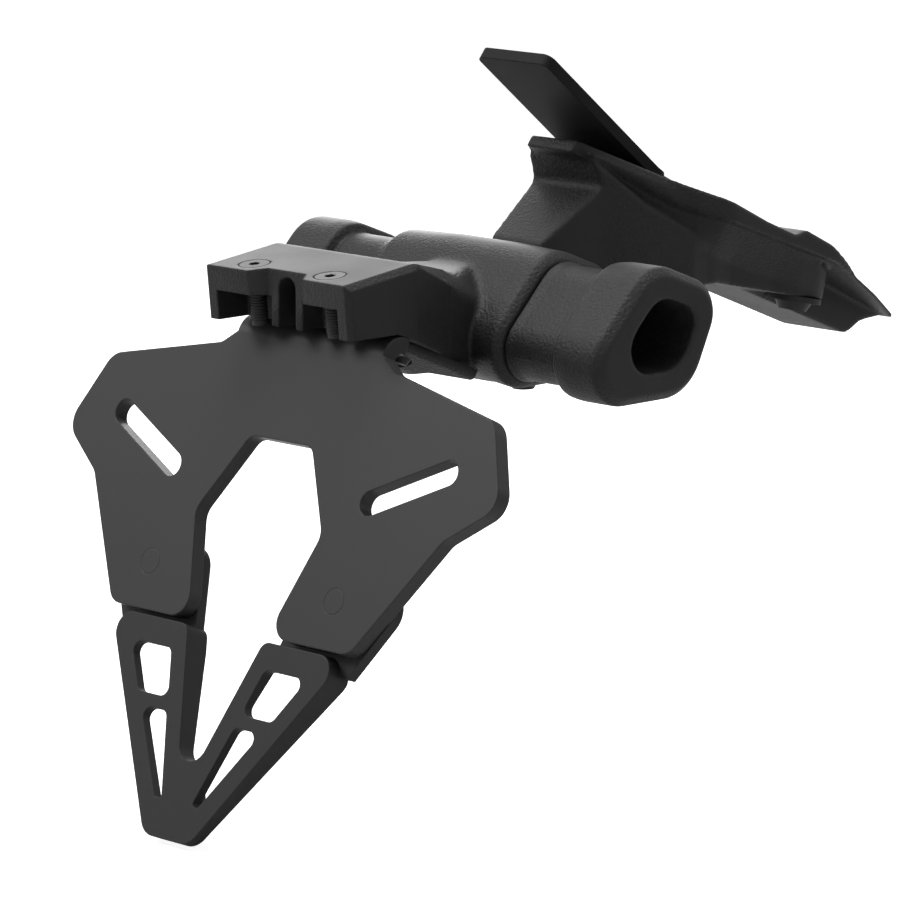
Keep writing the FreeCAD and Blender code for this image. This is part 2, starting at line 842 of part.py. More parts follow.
def makeInsert(name, place, bore, low, high):
    """Hexagonal brass insert that is moulded in."""
    body = makeBody(name, **place)
    outline = makeSketch(body, name + "Outline", "XY_Plane", low)
    drawHexagon(outline, "insertFlats")
    drawCircle(outline, 0, 0, bore)
    addPad(body, outline, size(high) - low)
    return body


# Studs with flush heads in the bracket, washers and nuts behind the laps.
studTurn = size(90) - "plateTilt"
studPlace = dict(platePoint("studAlong", 0), across="studHalf", tilt=studTurn)
stud = makeBody("stud", **studPlace)
sketch = makeSketch(stud, "studProfile", "XZ_Plane")
corners = [
    (0, 0),
    ("studHeadRadius", 0),
    ("studHeadRadius", -size("studHeadDepth")),
    ("studRadius", -size("studHeadDepth")),
    ("studRadius", -size("studEnd")),
    (0, -size("studEnd")),
]
drawOutline(sketch, corners)
addRevolution(stud, sketch)
pairOf("extension_studs", stud)
washerOut = -size("extensionDepth")
nutOut = washerOut - "studWasherDepth"
studWasher = makeRing("studWasher", studPlace, "studWasherRadius", "studRadius", nutOut, washerOut)
pairOf("extension_washers", studWasher)
studNut = makeBody("studNut", **studPlace)
sketch = makeSketch(studNut, "studNutOutline", "XY_Plane", nutOut)
drawHexagon(sketch, "studNutFlats")
drawCircle(sketch, 0, 0, "studRadius")
addPad(studNut, sketch, "studNutDepth", reverse=True)
pairOf("extension_nuts", studNut)

# Head and arm: side profile with a faintly sloping top, a notch with an arched slot in
# its front and a deep pocket on each side of the notch.
arm = makeBody("arm", **levelFrame)
sketch = makeSketch(arm, "armProfile", "YZ_Plane")
lean = size("plateTilt")
# the underside runs along the plane of the folded tab
breakDepth = (size("foldAlong") - size("headLow") * cosine(lean)) / sine(lean)
innerLow = (size("foldAlong") - size("armInside") * sine(lean)) / cosine(lean)
profile = [
    ("headLowFront", "headLow"),
    (breakDepth, "headLow"),
    ("armInside", innerLow),
    ("armInside", "armTopEndHeight"),
    ("armTopEnd", "armTopEndHeight"),
    ("headRidge", "headRidgeHeight", "headRidgeCorner"),
    ("headTopFront", "headTopFrontHeight"),
]
drawOutline(sketch, profile)
addPad(arm, sketch, size("armHalf") * 2, symmetricAbout=True)
document.recompute()


def alongTopSide(edge):
    middle = edge.CenterOfMass
    side = abs(abs(middle.x) - dimensions["armHalf"]) < 0.01
    return side and middle.z > dimensions["armTopEndHeight"] - 1 and middle.y < dimensions["armTopEnd"]


def frontUpright(edge):
    middle = edge.CenterOfMass
    side = abs(abs(middle.x) - dimensions["armHalf"]) < 0.01
    front = middle.y < dimensions["headLowFront"]
    return side and front and edge.Length > 8


dressEdges(arm, "PartDesign::Chamfer", "armEdges", alongTopSide, "armEdge")
dressEdges(arm, "PartDesign::Chamfer", "headCorners", frontUpright, "headCorner")
plan = [
    ("armHalf", size("headTopFront") - overrun),
    ("armHalf", "headRidge"),
    ("armWaistHalf", "armInside"),
    ("armWaistHalf", size("armInside") + overrun),
]
ringPocket(arm, "armPlan", symmetric(plan), size("armHalf") + overrun)
sketch = makeSketch(arm, "headNotch", "XY_Plane", "headTopFrontHeight")
front = size("headTopFront") - overrun
flare = (size("notchFrontHalf") - "notchBackHalf") / (size("notchDepth") - "headTopFront")
notch = [
    (size("notchFrontHalf") + flare * overrun, front),
    ("notchBackHalf", "notchDepth"),
]
drawOutline(sketch, symmetric(notch))
addPocket(arm, sketch, wide, symmetricAbout=True)
sketch = makeSketch(arm, "headPockets", "XY_Plane", "pocketRoof")
pocket = [
    ("jambHalf", front),
    ("pocketOuterHalf", front),
    ("pocketOuterHalf", "pocketBack"),
    ("jambHalf", "pocketBack"),
]
drawOutline(sketch, pocket)
drawOutline(sketch, mirrored(pocket))
addPocket(arm, sketch, wide)
sketch = makeSketch(arm, "headArch", "XZ_Plane", overrun - "notchDepth")
arch = [
    ("archHalf", size("headLow") - overrun),
    ("archHalf", "archTop", size("archHalf") * "archRoundness"),
]
drawOutline(sketch, symmetric(arch))
addPocket(arm, sketch, size("pocketBack") - "notchDepth" + overrun)

# Cross tube: all its sections are offsets of one outline.
tubeCorners = [
    (size("tubeTop"), size("tubeTopHeight"), "tubeTopCorner"),
    (size("tubeFront"), size("tubeFrontHeight"), "tubeFrontCorner"),
    (size("tubeLowFront"), size("tubeLowHeight"), "tubeLowFrontCorner"),
    (size("tubeLowBack"), size("tubeLowHeight"), "tubeLowBackCorner"),
]


def tubeSketch(name, corners):
    """Outline across the tube, drawn on the middle plane of the object."""
    sketch = document.addObject("Sketcher::SketchObject", name)
    sketch.Placement = FreeCAD.Placement(Vector(0, 0, 0), FreeCAD.Rotation(Vector(1, 1, 1), 120))
    bind(sketch, ".Placement.Base.y", -size("mountDepth"))
    bind(sketch, ".Placement.Base.z", -size("mountHeight"))
    drawOutline(sketch, corners)
    return sketch


section = tubeSketch("tubeOutline", tubeCorners)
# the opening in the end of a mount is the same outline, rounder and a little smaller
softer = [(corner[0], corner[1], size(corner[2]) + "openingCorner") for corner in tubeCorners]
opening = tubeSketch("tubeOpening", softer)
document.recompute()


def value(alias):
    return size(alias).number


def sectionAt(across, grow, lift=0, outline=section):
    """Closed wire of an outline, grown outwards, lifted and moved along the tube."""
    wire = Part.Wire(Part.__sortEdges__(outline.Shape.Edges))
    if abs(grow) > 1e-6:
        wire = wire.makeOffset2D(grow)
    wire.translate(Vector(across, 0, lift))
    return wire


def straightTube(start, end, grow, lift=0, outline=section):
    """Closed solid of one section between two places along the tube."""
    face = Part.Face(sectionAt(start, grow, lift, outline))
    return face.extrude(Vector(end - start, 0, 0))


def rimEdges(shape, across):
    """Edges round a section of a tube at one place along it."""
    return [edge for edge in shape.Edges if abs(edge.CenterOfMass.x - across) < 1e-3]


def solidFeature(name, shape):
    feature = document.addObject("Part::Feature", name)
    feature.Shape = shape
    feature.Placement = FreeCAD.Placement()
    return feature


def sleeveSolid():
    """Sleeve with a middle part that sits a little higher, bevelled at both ends."""
    wall = value("sleeveWall")
    waist = wall - value("sleeveWaist")
    lift = value("sleeveLift")
    flat = value("sleeveFlat")
    end = value("sleeveHalf")
    shape = straightTube(-flat, flat, waist, lift)
    for side in (-1, 1):
        rims = [sectionAt(side * flat, waist, lift), sectionAt(side * end, wall)]
        shape = shape.fuse(Part.makeLoft(rims, True, True))
    edges = rimEdges(shape, end) + rimEdges(shape, -end)
    return shape.makeChamfer(value("sleeveEdge"), edges)


def facetSolid():
    """Wedge above the plane that slopes off the arm between its ridge and the tube."""
    run = value("facetRun")
    rise = run * math.tan(math.radians(value("facetLean")))
    rings = []
    for depth, across, height in (
            ("headRidge", value("armHalf") - value("facetStart"), value("headRidgeHeight")),
            ("armInside", value("facetEndHalf"), value("facetEndHeight"))):
        y = value(depth) - value("mountDepth")
        z = height - value("mountHeight")
        rings.append([Vector(across - run, y, z + rise), Vector(across + run, y, z - rise),
                      Vector(across + run, y, z + rise)])
    near, far = rings
    outlines = [near, list(reversed(far))]
    for i in range(3):
        outlines.append([near[i], far[i], far[(i + 1) % 3], near[(i + 1) % 3]])
    faces = [Part.Face(Part.makePolygon(outline + outline[:1])) for outline in outlines]
    return Part.Solid(Part.Shell(faces))


# Sloping facets behind the ridge of the head, where the arm narrows towards the tube.
facetTool = solidFeature("facetTool", facetSolid())
armCut = document.addObject("Part::Cut", "armCut")
armCut.Base = arm
armCut.Tool = joinPieces("Part::MultiFuse", "facets", [facetTool, mirrorPiece(facetTool, "facetLeft")])
sleeve = solidFeature("sleeve", sleeveSolid())
boreGrow = value("sleeveWall") - value("sleeveBoreWall")
sleeveBore = solidFeature("sleeveBore", straightTube(-wide.number, wide.number, boreGrow))


def mountShape(side):
    """Indicator mount: spigot in the cross tube, waisted neck and bevelled boss."""
    inner = value("spigotEnd")
    seam = value("sleeveHalf") + value("seamGroove")
    neck = value("neckEnd")
    end = value("mountEnd")
    shoulder = value("bossStart") - neck
    step = value("sleeveWall") - value("neckWall")
    boss = straightTube(side * neck, side * end, value("sleeveWall"))
    boss = boss.makeChamfer(value("bossBevel"), rimEdges(boss, side * end))
    boss = boss.makeChamfer(step, shoulder, rimEdges(boss, side * neck))
    spigotGrow = boreGrow - value("spigotClearance")
    recessed = value("neckWall") - value("seamDepth")
    shape = boss.fuse(straightTube(side * seam, side * neck, value("neckWall")))
    shape = shape.fuse(straightTube(side * inner, side * seam, spigotGrow))
    shape = shape.fuse(straightTube(side * value("sleeveHalf"), side * seam, recessed))
    clear = overrun.number
    cavity = spigotGrow - value("spigotWall")
    shape = shape.cut(straightTube(side * (inner - clear), side * neck, cavity))
    mouth = straightTube(side * neck, side * (end + clear), -value("openingSide"), 0, opening)
    return shape.cut(mouth).removeSplitter()


mountPlain = {}
for side, word in ((-1, "left"), (1, "right")):
    mountPlain[word] = solidFeature("mountBlank" + word.capitalize(), mountShape(side))

# Base: a thin wing against the motorbike, a central keel below it and a bolt pod on each
# side of the keel, which run back as a flaring stem to the cross tube.
slope = tangent(size("baseTilt"))


def topHeight(depth):
    """Height of the top of the base, which passes under the collars of the bolts."""
    lean = size("podTilt")
    startDepth = size("mountDepth") - sine(lean) * "baseSleeveRise"
    startHeight = size("mountHeight") - cosine(lean) * "baseSleeveRise"
    return startHeight - (size(depth) - startDepth) * slope


def podLow(depth):
    """Height of the underside of the pods."""
    lean = size("podTilt")
    below = (size("podHeight") + "baseSleeveRise") / cosine(lean)
    return size("mountHeight") - below - (size(depth) - "mountDepth") * tangent(lean)


wing = makeBody("wing", **levelFrame)
sketch = makeSketch(wing, "wingProfile", "YZ_Plane")
profile = [
    ("flangeRear", topHeight("flangeRear")),
    (size("flangeRear") - "flangeHeel", topHeight("flangeRear") - "flangeHeelThick"),
    ("flangeMid", topHeight("flangeMid") - "flangeThick"),
    ("flangeThickDepth", topHeight("flangeThickDepth") - "flangeThick"),
    ("flangeLowDepth", topHeight("flangeLowDepth") - "flangeWaistThick"),
    ("flangeShoulderLow", topHeight("flangeShoulderLow") - "flangeTipThick"),
    ("flangeTip", topHeight("flangeTip") - "flangeTipThick"),
    ("flangeTip", topHeight("flangeTip")),
    ("padEnd", topHeight("padEnd")),
    ("padFront", topHeight("padFront") + "padRise"),
    ("padRear", topHeight("padRear") + "padRise"),
    ("padStart", topHeight("padStart")),
]
drawOutline(sketch, profile)
addPad(wing, sketch, (size("flangeElbowHalf") + overrun) * 2, symmetricAbout=True)
# sloping skirts between the edges of the wing and the sides of the pods
thinning = (size("flangeLowDepth") - "skirtKnee") / (size("flangeLowDepth") - "flangeThickDepth")
edgeLow = topHeight("skirtKnee") - size("flangeThick") * thinning
rootLow = topHeight("skirtKnee") - "skirtDrop"
frontEdge = topHeight("skirtFront")
stations = (
    ("flangeElbowHalf", edgeLow, frontEdge),
    ("skirtHalf", rootLow, frontEdge - "flangeTipThick"),
    ("skirtRootHalf", rootLow, frontEdge - "flangeTipThick"),
)
for side, word in ((1, "Right"), (-1, "Left")):
    outlines = []
    for across, kneeLow, frontLow in stations:
        sketch = makeSketch(wing, "skirt" + word + str(len(outlines)), "YZ_Plane", size(across) * side)
        corners = [
            ("skirtRear", topHeight("skirtRear") - "flangeThick"),
            ("skirtKnee", kneeLow),
            ("skirtFront", frontLow),
            ("skirtFront", topHeight("skirtFront") + "skirtOverlap"),
            ("skirtRear", topHeight("skirtRear") - "skirtOverlap"),
        ]
        drawOutline(sketch, corners)
        outlines.append(sketch)
    skirt = wing.newObject("PartDesign::AdditiveLoft", "skirt" + word)
    skirt.Profile = outlines[0]
    skirt.Sections = outlines[1:]
    skirt.Ruled = True
    wing.Tip = skirt
plan = [
    ("flangeHeelHalf", size("flangeRear") - overrun),
    ("flangeRearHalf", "flangeRear"),
    ("flangeMidHalf", "flangeMid", "flangeMidCorner"),
    ("flangeElbowHalf", "flangeElbow", "flangeElbowCorner"),
    ("flangeElbowHalf", "flangeShoulder", "flangeShoulderCorner"),
    ("flangeFrontHalf", "flangeFront", "flangeFrontCorner"),
    ("flangeTipHalf", "flangeTip", "flangeTipCorner"),
]
ringPocket(wing, "wingPlan", symmetric(plan), size("flangeElbowHalf") + overrun * 2)

stem = makeBody("stem", **levelFrame)
sketch = makeSketch(stem, "stemProfile", "YZ_Plane")
profile = [
    ("footDepth", "footRoot"),
    ("footDepth", "footHeight"),
    ("creaseDepth", "creaseHeight", "creaseCorner"),
    (size("flangeRear") + "stemSink", topHeight("flangeRear") - size("stemSink") * 2),
    ("podFront", topHeight("podFront") - "stemSink"),
    ("podFront", podLow("podFront")),
    ("podBack", podLow("podBack"), "podBackCorner"),
    ("bellyDepth", "bellyHeight"),
    ("footToe", "footToeHeight"),
]
drawOutline(sketch, profile)
addPad(stem, sketch, (size("podHalf") + overrun) * 2, symmetricAbout=True)
plan = [
    ("footHalf", size("footToe") - overrun),
    ("creaseHalf", "creaseDepth", "creaseFlare"),
    ("podHalf", "podBack", "podBackFlare"),
    ("podHalf", "podFront", "podCorner"),
]
ringPocket(stem, "stemPlan", symmetric(plan), size("podHalf") + overrun * 2)

keel = makeBody("keel", **levelFrame)
sketch = makeSketch(keel, "keelProfile", "YZ_Plane")
rise = tangent(size("keelTilt"))
keelBackLow = size("keelFrontHeight") + (size("keelFront") - "keelBack") * rise
profile = [
    ("keelBack", topHeight("keelBack") - "stemSink"),
    ("keelBack", keelBackLow),
    ("keelFront", "keelFrontHeight", "keelCorner"),
    ("keelNose", topHeight("keelNose") - "keelNoseDrop", "keelNoseCorner"),
    ("keelTip", topHeight("keelTip") - "keelTipDrop"),
]
drawOutline(sketch, profile)
addPad(keel, sketch, size("keelHalf") * 2, symmetricAbout=True)

# Collars around the base bolts stand up through the mounting face.
boltLean = -size("podTilt")
basePlace = {"across": "baseBoltHalf", "tilt": boltLean}
headFace = -(size("podHeight") + "baseSleeveRise")
washerLow = headFace - "baseWasherHeight"
collar = makeRod("baseCollar", basePlace, "baseCollarRadius", headFace + "baseCollarGap", 0)

pieces = [armCut, sleeve, wing, stem, keel, collar, mirrorPiece(collar, "baseCollarLeft")]
blank = joinPieces("Part::MultiFuse", "mainBodyBlank", pieces)

# Bores and seats cut into the moulding.
headSlope = (size("headRidgeHeight") - "headTopFrontHeight") / (size("headRidge") - "headTopFront")
headTilt = Size("atan(" + headSlope.text + ")", math.degrees(math.atan(headSlope.number)))
lampTop = size("headTopFrontHeight") + (size("lampScrewDepth") - "headTopFront") * headSlope
lampPlace = {
    "across": "lampScrewHalf",
    "depth": size("lampScrewDepth") - "mountDepth",
    "height": lampTop - "mountHeight",
    "tilt": headTilt,
}
tabPlace = dict(platePoint("foldAlong", "tabBoltOut"), across="tabBoltHalf", tilt=-size("plateTilt"))
coverPlace = dict(tabPlace, **platePoint("foldAlong", "coverScrewOut"))
coverPlace["across"] = "coverScrewHalf"


def stripPlace(hole, above=0):
    """Place of a screw of the strip, at a distance above the top of the base."""
    lean = size("baseTilt")
    return {
        "depth": size(hole) - "mountDepth" + size(above) * sine(lean),
        "height": topHeight(hole) - "mountHeight" + size(above) * cosine(lean),
        "tilt": -lean,
    }


# the screws of the indicator mounts start in a flat seat under the cross tube
seatHeight = size("tubeLowHeight") - "sleeveWall"
mountScrewPlace = {
    "across": "mountScrewHalf",
    "depth": size("mountScrewDepth") - "mountDepth",
    "height": seatHeight + "mountSeatDepth" - "mountHeight",
    "tilt": 0,
}
lampInsertLow = -(size("headTopFrontHeight") - "pocketRoof" + "lampInsertDrop")
lampInsertTop = lampInsertLow + "lampInsertLength"
cutters = []


def cutPair(rod):
    cutters.append(rod)
    cutters.append(mirrorPiece(rod, rod.Name + "Left"))


cutPair(makeRod("baseBore", basePlace, "baseSleeveRadius", headFace - overrun * 3, overrun * 2))
cutPair(makeRod("lampBore", lampPlace, size("lampScrewRadius") + "boltClearance", lampInsertLow, overrun))
cutPair(makeInsertSeat("lampInsertSeat", lampPlace, lampInsertLow - overrun * 2, lampInsertTop))
lampSeat = makeBody("lampSeat", **lampPlace)
sketch = makeSketch(lampSeat, "lampSeatProfile", "XZ_Plane")
corners = [
    (0, overrun),
    (size("lampScrewHead") + "lampScrewGap", overrun),
    (size("lampScrewHead") + "lampScrewGap", -size("screwRim")),
    ("lampScrewHead", -size("screwRim")),
    ("lampScrewRadius", -size("lampScrewHeadHeight")),
    (0, -size("lampScrewHeadHeight")),
]
drawOutline(sketch, corners)
addRevolution(lampSeat, sketch)
cutPair(lampSeat)
cutPair(makeInsertSeat("tabInsertSeat", tabPlace, -overrun, "tabInsertLength"))
coverScrewReach = size("coverScrewLength") - "coverDepth" + "coverSeatWall"
cutPair(makeRod("coverBore", coverPlace, "coverScrewRadius", -overrun, coverScrewReach))
stripInsertLow = -size("stripInsertLength")
for hole in ("stripRearHole", "stripFrontHole"):
    cutters.append(makeInsertSeat(hole + "Seat", stripPlace(hole), stripInsertLow, overrun))
seatRadius = size("mountScrewHead") + "mountSeatGap"
boreRadius = size("mountScrewRadius") + "boltClearance"
cutPair(makeRod("mountScrewBore", mountScrewPlace, boreRadius, -overrun, "sleeveWall"))
cutPair(makeRod("mountScrewSeat", mountScrewPlace, seatRadius, -overrun * 3, 0))
cutters.append(sleeveBore)
bores = joinPieces("Part::MultiFuse", "mainBodyBores", cutters)
mainBody = document.addObject("Part::Cut", "mainBody")
mainBody.Label = "main_body"
mainBody.Base = blank
mainBody.Tool = bores

# Indicator mounts: each spigot takes the tip of the screw under the cross tube.
screwTap = makeRod("mountScrewTap", mountScrewPlace, "mountScrewRadius", 0, size("sleeveWall") + overrun)
screwTapLeft = mirrorPiece(screwTap, "mountScrewTapLeft")
for word, tap in (("left", screwTapLeft), ("right", screwTap)):
    piece = document.addObject("Part::Cut", "mount" + word.capitalize())
    piece.Label = "indicator_mount_" + word
    piece.Base = mountPlain[word]
    piece.Tool = tap

# Base bolts with washers and the compression sleeves in their bores.
underPlace = {
    "across": "baseBoltHalf",
    "depth": sine(size("podTilt")) * washerLow,
    "height": cosine(size("podTilt")) * washerLow,
    "tilt": size(180) - "podTilt",
}
boltReach = size("baseBoltRise") - washerLow
baseBolt = makeScrew("baseBolt", underPlace, boltReach)
pairOf("base_bolts", baseBolt)
washerBore = size("baseBoltRadius") + "boltClearance"
baseWasher = makeRing("baseWasher", basePlace, "baseWasherRadius", washerBore, washerLow, headFace)
pairOf("base_washers", baseWasher)
baseSleeve = makeRing("baseSleeve", basePlace, "baseSleeveRadius", washerBore, headFace, 0)
pairOf("base_sleeves", baseSleeve)

# Screws in the head, screwed into inserts above the pockets.
lampScrew = makeCountersunk("lampScrew", lampPlace, "lampScrew", "lampScrewLength")
pairOf("lamp_screws", lampScrew)
lampInsert = makeInsert("lampInsert", lampPlace, "lampScrewRadius", lampInsertLow, lampInsertTop)
pairOf("lamp_inserts", lampInsert)

# Bolts, washers and inserts that hold the folded tab.
tabFace = size("foldAlong") - "plateThickness"
boltFace = tabFace - "tabWasherHeight"
tabBoltPlace = dict(platePoint(boltFace, "tabBoltOut"), across="tabBoltHalf", tilt=size(180) - "plateTilt")
tabBolt = makeScrew("tabBolt", tabBoltPlace, "tabBoltLength")
pairOf("bracket_bolts", tabBolt)
washerTop = -size("plateThickness")
washerUnder = washerTop - "tabWasherHeight"
washerBore = size("tabBoltRadius") + "boltClearance"
tabWasher = makeRing("tabWasher", tabPlace, "tabWasherRadius", washerBore, washerUnder, washerTop)
pairOf("bracket_washers", tabWasher)
tabInsert = makeInsert("tabInsert", tabPlace, "tabBoltRadius", 0, "tabInsertLength")
pairOf("bracket_inserts", tabInsert)

# Cover under the arm: a shallow shell around the folded tab, closed below.
coverBody = makeBody("cover", **plateFrame)
coverBody.Label = "under_cover"
sketch = makeSketch(coverBody, "coverSection", "XZ_Plane", -size("coverOutStart"))
belly = size("foldAlong") - "coverDepth"
flank = size("foldAlong") - "coverFlank"
outline = [
    ("coverHalf", "foldAlong"),
    ("coverHalf", flank, "coverFlankCorner"),
    ("coverBellyHalf", belly, "coverBellyCorner"),
]
drawOutline(sketch, symmetric(outline))
addPad(coverBody, sketch, size("coverOutEnd") - "coverOutStart", reverse=True)
sketch = makeSketch(coverBody, "coverHollow", "XZ_Plane", -size("coverOutStart"))
hollowHalf = size("tabHalf") + "coverGap"
drawOutline(sketch, symmetric([(hollowHalf, size("foldAlong") + overrun), (hollowHalf, belly + "coverWall")]))
addPocket(coverBody, sketch, size("tabOut") - "coverOutStart" + "coverGap")
# behind the tab the underside rises to the tube
sketch = makeSketch(coverBody, "coverRake", "YZ_Plane")
rake = [
    ("coverStep", belly),
    ("coverMid", belly + "coverRise"),
    (size("coverOutEnd") + overrun, size("foldAlong") - "coverEndDepth"),
    (size("coverOutEnd") + overrun, belly - overrun),
    ("coverStep", belly - overrun),
]
drawOutline(sketch, rake)
addPocket(coverBody, sketch, wide, symmetricAbout=True)
sketch = makeSketch(coverBody, "coverScrewHoles", "XY_Plane", "foldAlong")
drawCircle(sketch, "coverScrewHalf", "coverScrewOut", "coverScrewRadius")
drawCircle(sketch, -size("coverScrewHalf"), "coverScrewOut", "coverScrewRadius")
addPocket(coverBody, sketch, wide, symmetricAbout=True)
sketch = makeSketch(coverBody, "coverBoltAccess", "XY_Plane", size("foldAlong") - "plateThickness")
access = size("tabWasherRadius") + "boltClearance"
drawCircle(sketch, "tabBoltHalf", "tabBoltOut", access)
drawCircle(sketch, -size("tabBoltHalf"), "tabBoltOut", access)
addPocket(coverBody, sketch, "coverDepth")
coverSeat = belly + "coverSeatWall"
sketch = makeSketch(coverBody, "coverScrewSeats", "XY_Plane", coverSeat)
drawCircle(sketch, "coverScrewHalf", "coverScrewOut", size("coverScrewHead") + "lampScrewGap")
drawCircle(sketch, -size("coverScrewHalf"), "coverScrewOut", size("coverScrewHead") + "lampScrewGap")
addPocket(coverBody, sketch, "coverDepth")
coverUnder = dict(coverPlace, **platePoint(coverSeat, "coverScrewOut"))
coverUnder["tilt"] = size(180) - "plateTilt"
coverScrew = makeScrew("coverScrew", coverUnder, "coverScrewLength")
pairOf("cover_screws", coverScrew)

# Screws that hold the indicator mounts.
mountScrewUnder = dict(mountScrewPlace, tilt=180)
mountScrew = makeScrew("mountScrew", mountScrewUnder, "mountScrewLength")
pairOf("indicator_mount_screws", mountScrew)

# Bent metal strip: its narrow tongue lies on the base and the wide part rises to the rear.
strip = makeBody("strip", **levelFrame)
strip.Label = "top_tab_plate"
sketch = makeSketch(strip, "stripProfile", "YZ_Plane")
thick = size("stripThick")
stripLean = size("stripTilt")
baseLean = size("baseTilt")
bendHeight = topHeight("stripBend")
endHeight = topHeight("stripEnd")
stripTopHeight = bendHeight + (size("stripBend") - "stripTop") * tangent(stripLean)
# both faces bend on the line that halves the angle between the two flat parts
bisector = (stripLean + baseLean) / 2
shift = thick / cosine((stripLean - baseLean) / 2)
upperBend = (size("stripBend") + shift * sine(bisector), bendHeight + shift * cosine(bisector))
profile = [
    ("stripTop", stripTopHeight),
    ("stripBend", bendHeight, "stripBendInner"),
    ("stripEnd", endHeight),
    (size("stripEnd") + thick * sine(baseLean), endHeight + thick * cosine(baseLean)),
    upperBend + (thick + "stripBendInner",),
    (size("stripTop") + thick * sine(stripLean), stripTopHeight + thick * cosine(stripLean)),
]
drawOutline(sketch, profile)
addPad(strip, sketch, size("stripHalf") * 2, symmetricAbout=True)
plan = [
    ("stripHalf", size("stripTop") - overrun),
    ("stripHalf", "stripShoulder", "stripShoulderCorner"),
    ("stripTongueHalf", "stripShoulder"),
    ("stripTongueHalf", size("stripEnd") + thick),
]
ringPocket(strip, "stripPlan", symmetric(plan), size("stripHalf") + overrun)
document.recompute()


def stripTopCorners(edge):
    middle = edge.CenterOfMass
    side = abs(abs(middle.x) - dimensions["stripHalf"]) < 0.01
    high = middle.y < dimensions["stripTop"] + dimensions["stripThick"]
    return side and high and abs(edge.Length - dimensions["stripThick"]) < 0.01


dressEdges(strip, "PartDesign::Fillet", "stripCorners", stripTopCorners, "stripCorner")
holes = []
screws = []
inserts = []
for hole in ("stripRearHole", "stripFrontHole"):
    place = stripPlace(hole, thick)
    seat = makeBody(hole + "Sink", **place)
    sketch = makeSketch(seat, hole + "SinkProfile", "XZ_Plane")
    shank = size("stripScrewRadius") + "boltClearance"
    corners = [
        (0, overrun),
        (size("stripScrewHead") + "lampScrewGap", overrun),
        (size("stripScrewHead") + "lampScrewGap", -size("screwRim")),
        ("stripScrewHead", -size("screwRim")),
        (shank, -size("stripScrewHeadHeight")),
        (shank, -thick - overrun),
        (0, -thick - overrun),
    ]
    drawOutline(sketch, corners)
    addRevolution(seat, sketch)
    holes.append(seat)
    length = thick + "stripInsertLength"
    screws.append(makeCountersunk(hole + "Screw", place, "stripScrew", length))
    inserts.append(makeInsert(hole + "Insert", stripPlace(hole), "stripScrewRadius", stripInsertLow, 0))
strip.Label = "stripBlank"
stripCut = document.addObject("Part::Cut", "stripCut")
stripCut.Label = "top_tab_plate"
stripCut.Base = strip
stripCut.Tool = joinPieces("Part::MultiFuse", "stripHoles", holes)
joinPieces("Part::Compound", "tab_plate_screws", screws)
joinPieces("Part::Compound", "tab_plate_inserts", inserts)

document.recompute()

nodes = [
    "number_plate_bracket",
    "lower_extension",
    "extension_studs",
    "extension_washers",
    "extension_nuts",
    "main_body",
    "under_cover",
    "cover_screws",
    "bracket_bolts",
    "bracket_washers",
    "bracket_inserts",
    "lamp_screws",
    "lamp_inserts",
    "indicator_mount_left",
    "indicator_mount_right",
    "indicator_mount_screws",
    "base_bolts",
    "base_washers",
    "base_sleeves",
    "top_tab_plate",
    "tab_plate_screws",
    "tab_plate_inserts",
]
for item in document.Objects:
    if "Invalid" in item.State or "Error" in item.State:
        raise RuntimeError("failed feature: " + item.Name + " " + str(item.State))
    if item.TypeId == "PartDesign::Pocket":
        before = item.BaseFeature.Shape.Volume
        if item.Shape.Volume > before - 0.01:
            raise RuntimeError("pocket cuts nothing: " + item.Name)
os.makedirs("parts", exist_ok=True)
shapes = {}
for node in nodes:
    found = document.getObjectsByLabel(node)
    shape = found[0].Shape
    if shape.isNull() or not shape.isValid():
        raise RuntimeError("bad shape: " + node)
    shapes[node] = shape
for node, shape in shapes.items():
    shape.exportStep("parts/" + node + ".step")
    box = shape.BoundBox
    low = [round(v, 2) for v in (box.XMin, box.YMin, box.ZMin)]
    high = [round(v, 2) for v in (box.XMax, box.YMax, box.ZMax)]
    print(node, len(shape.Solids), "solids", round(shape.Volume, 1), "mm3", low, high)
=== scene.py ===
import bmesh
import bpy
import json
import math
import numpy
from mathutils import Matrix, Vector


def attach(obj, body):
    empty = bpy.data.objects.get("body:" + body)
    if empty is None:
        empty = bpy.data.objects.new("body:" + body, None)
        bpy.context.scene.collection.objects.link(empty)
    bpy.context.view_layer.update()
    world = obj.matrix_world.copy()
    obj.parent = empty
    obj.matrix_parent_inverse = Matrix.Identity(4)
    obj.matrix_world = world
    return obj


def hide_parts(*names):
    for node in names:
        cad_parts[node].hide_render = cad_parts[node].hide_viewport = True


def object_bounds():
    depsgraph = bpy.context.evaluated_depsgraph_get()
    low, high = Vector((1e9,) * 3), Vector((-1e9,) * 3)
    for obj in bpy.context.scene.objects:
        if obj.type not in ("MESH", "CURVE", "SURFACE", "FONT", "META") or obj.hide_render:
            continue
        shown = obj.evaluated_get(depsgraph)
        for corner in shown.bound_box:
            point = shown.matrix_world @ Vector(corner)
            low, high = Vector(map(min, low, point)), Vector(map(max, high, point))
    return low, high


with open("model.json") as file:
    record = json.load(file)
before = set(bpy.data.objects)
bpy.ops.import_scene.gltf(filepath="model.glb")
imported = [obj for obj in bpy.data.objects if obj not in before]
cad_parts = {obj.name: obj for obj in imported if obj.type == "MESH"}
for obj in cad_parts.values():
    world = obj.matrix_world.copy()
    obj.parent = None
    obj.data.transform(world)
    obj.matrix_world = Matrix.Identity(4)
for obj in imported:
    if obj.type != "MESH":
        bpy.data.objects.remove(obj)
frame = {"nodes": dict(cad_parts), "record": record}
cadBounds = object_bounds()
print("tail tidy: frame loaded")

# lengths are in mm unless a name says otherwise; colours are sRGB


def linear(code):
    values = [int(code[i:i + 2], 16) / 255 for i in (1, 3, 5)]
    return [v / 12.92 if v <= 0.04045 else ((v + 0.055) / 1.055) ** 2.4 for v in values] + [1.0]


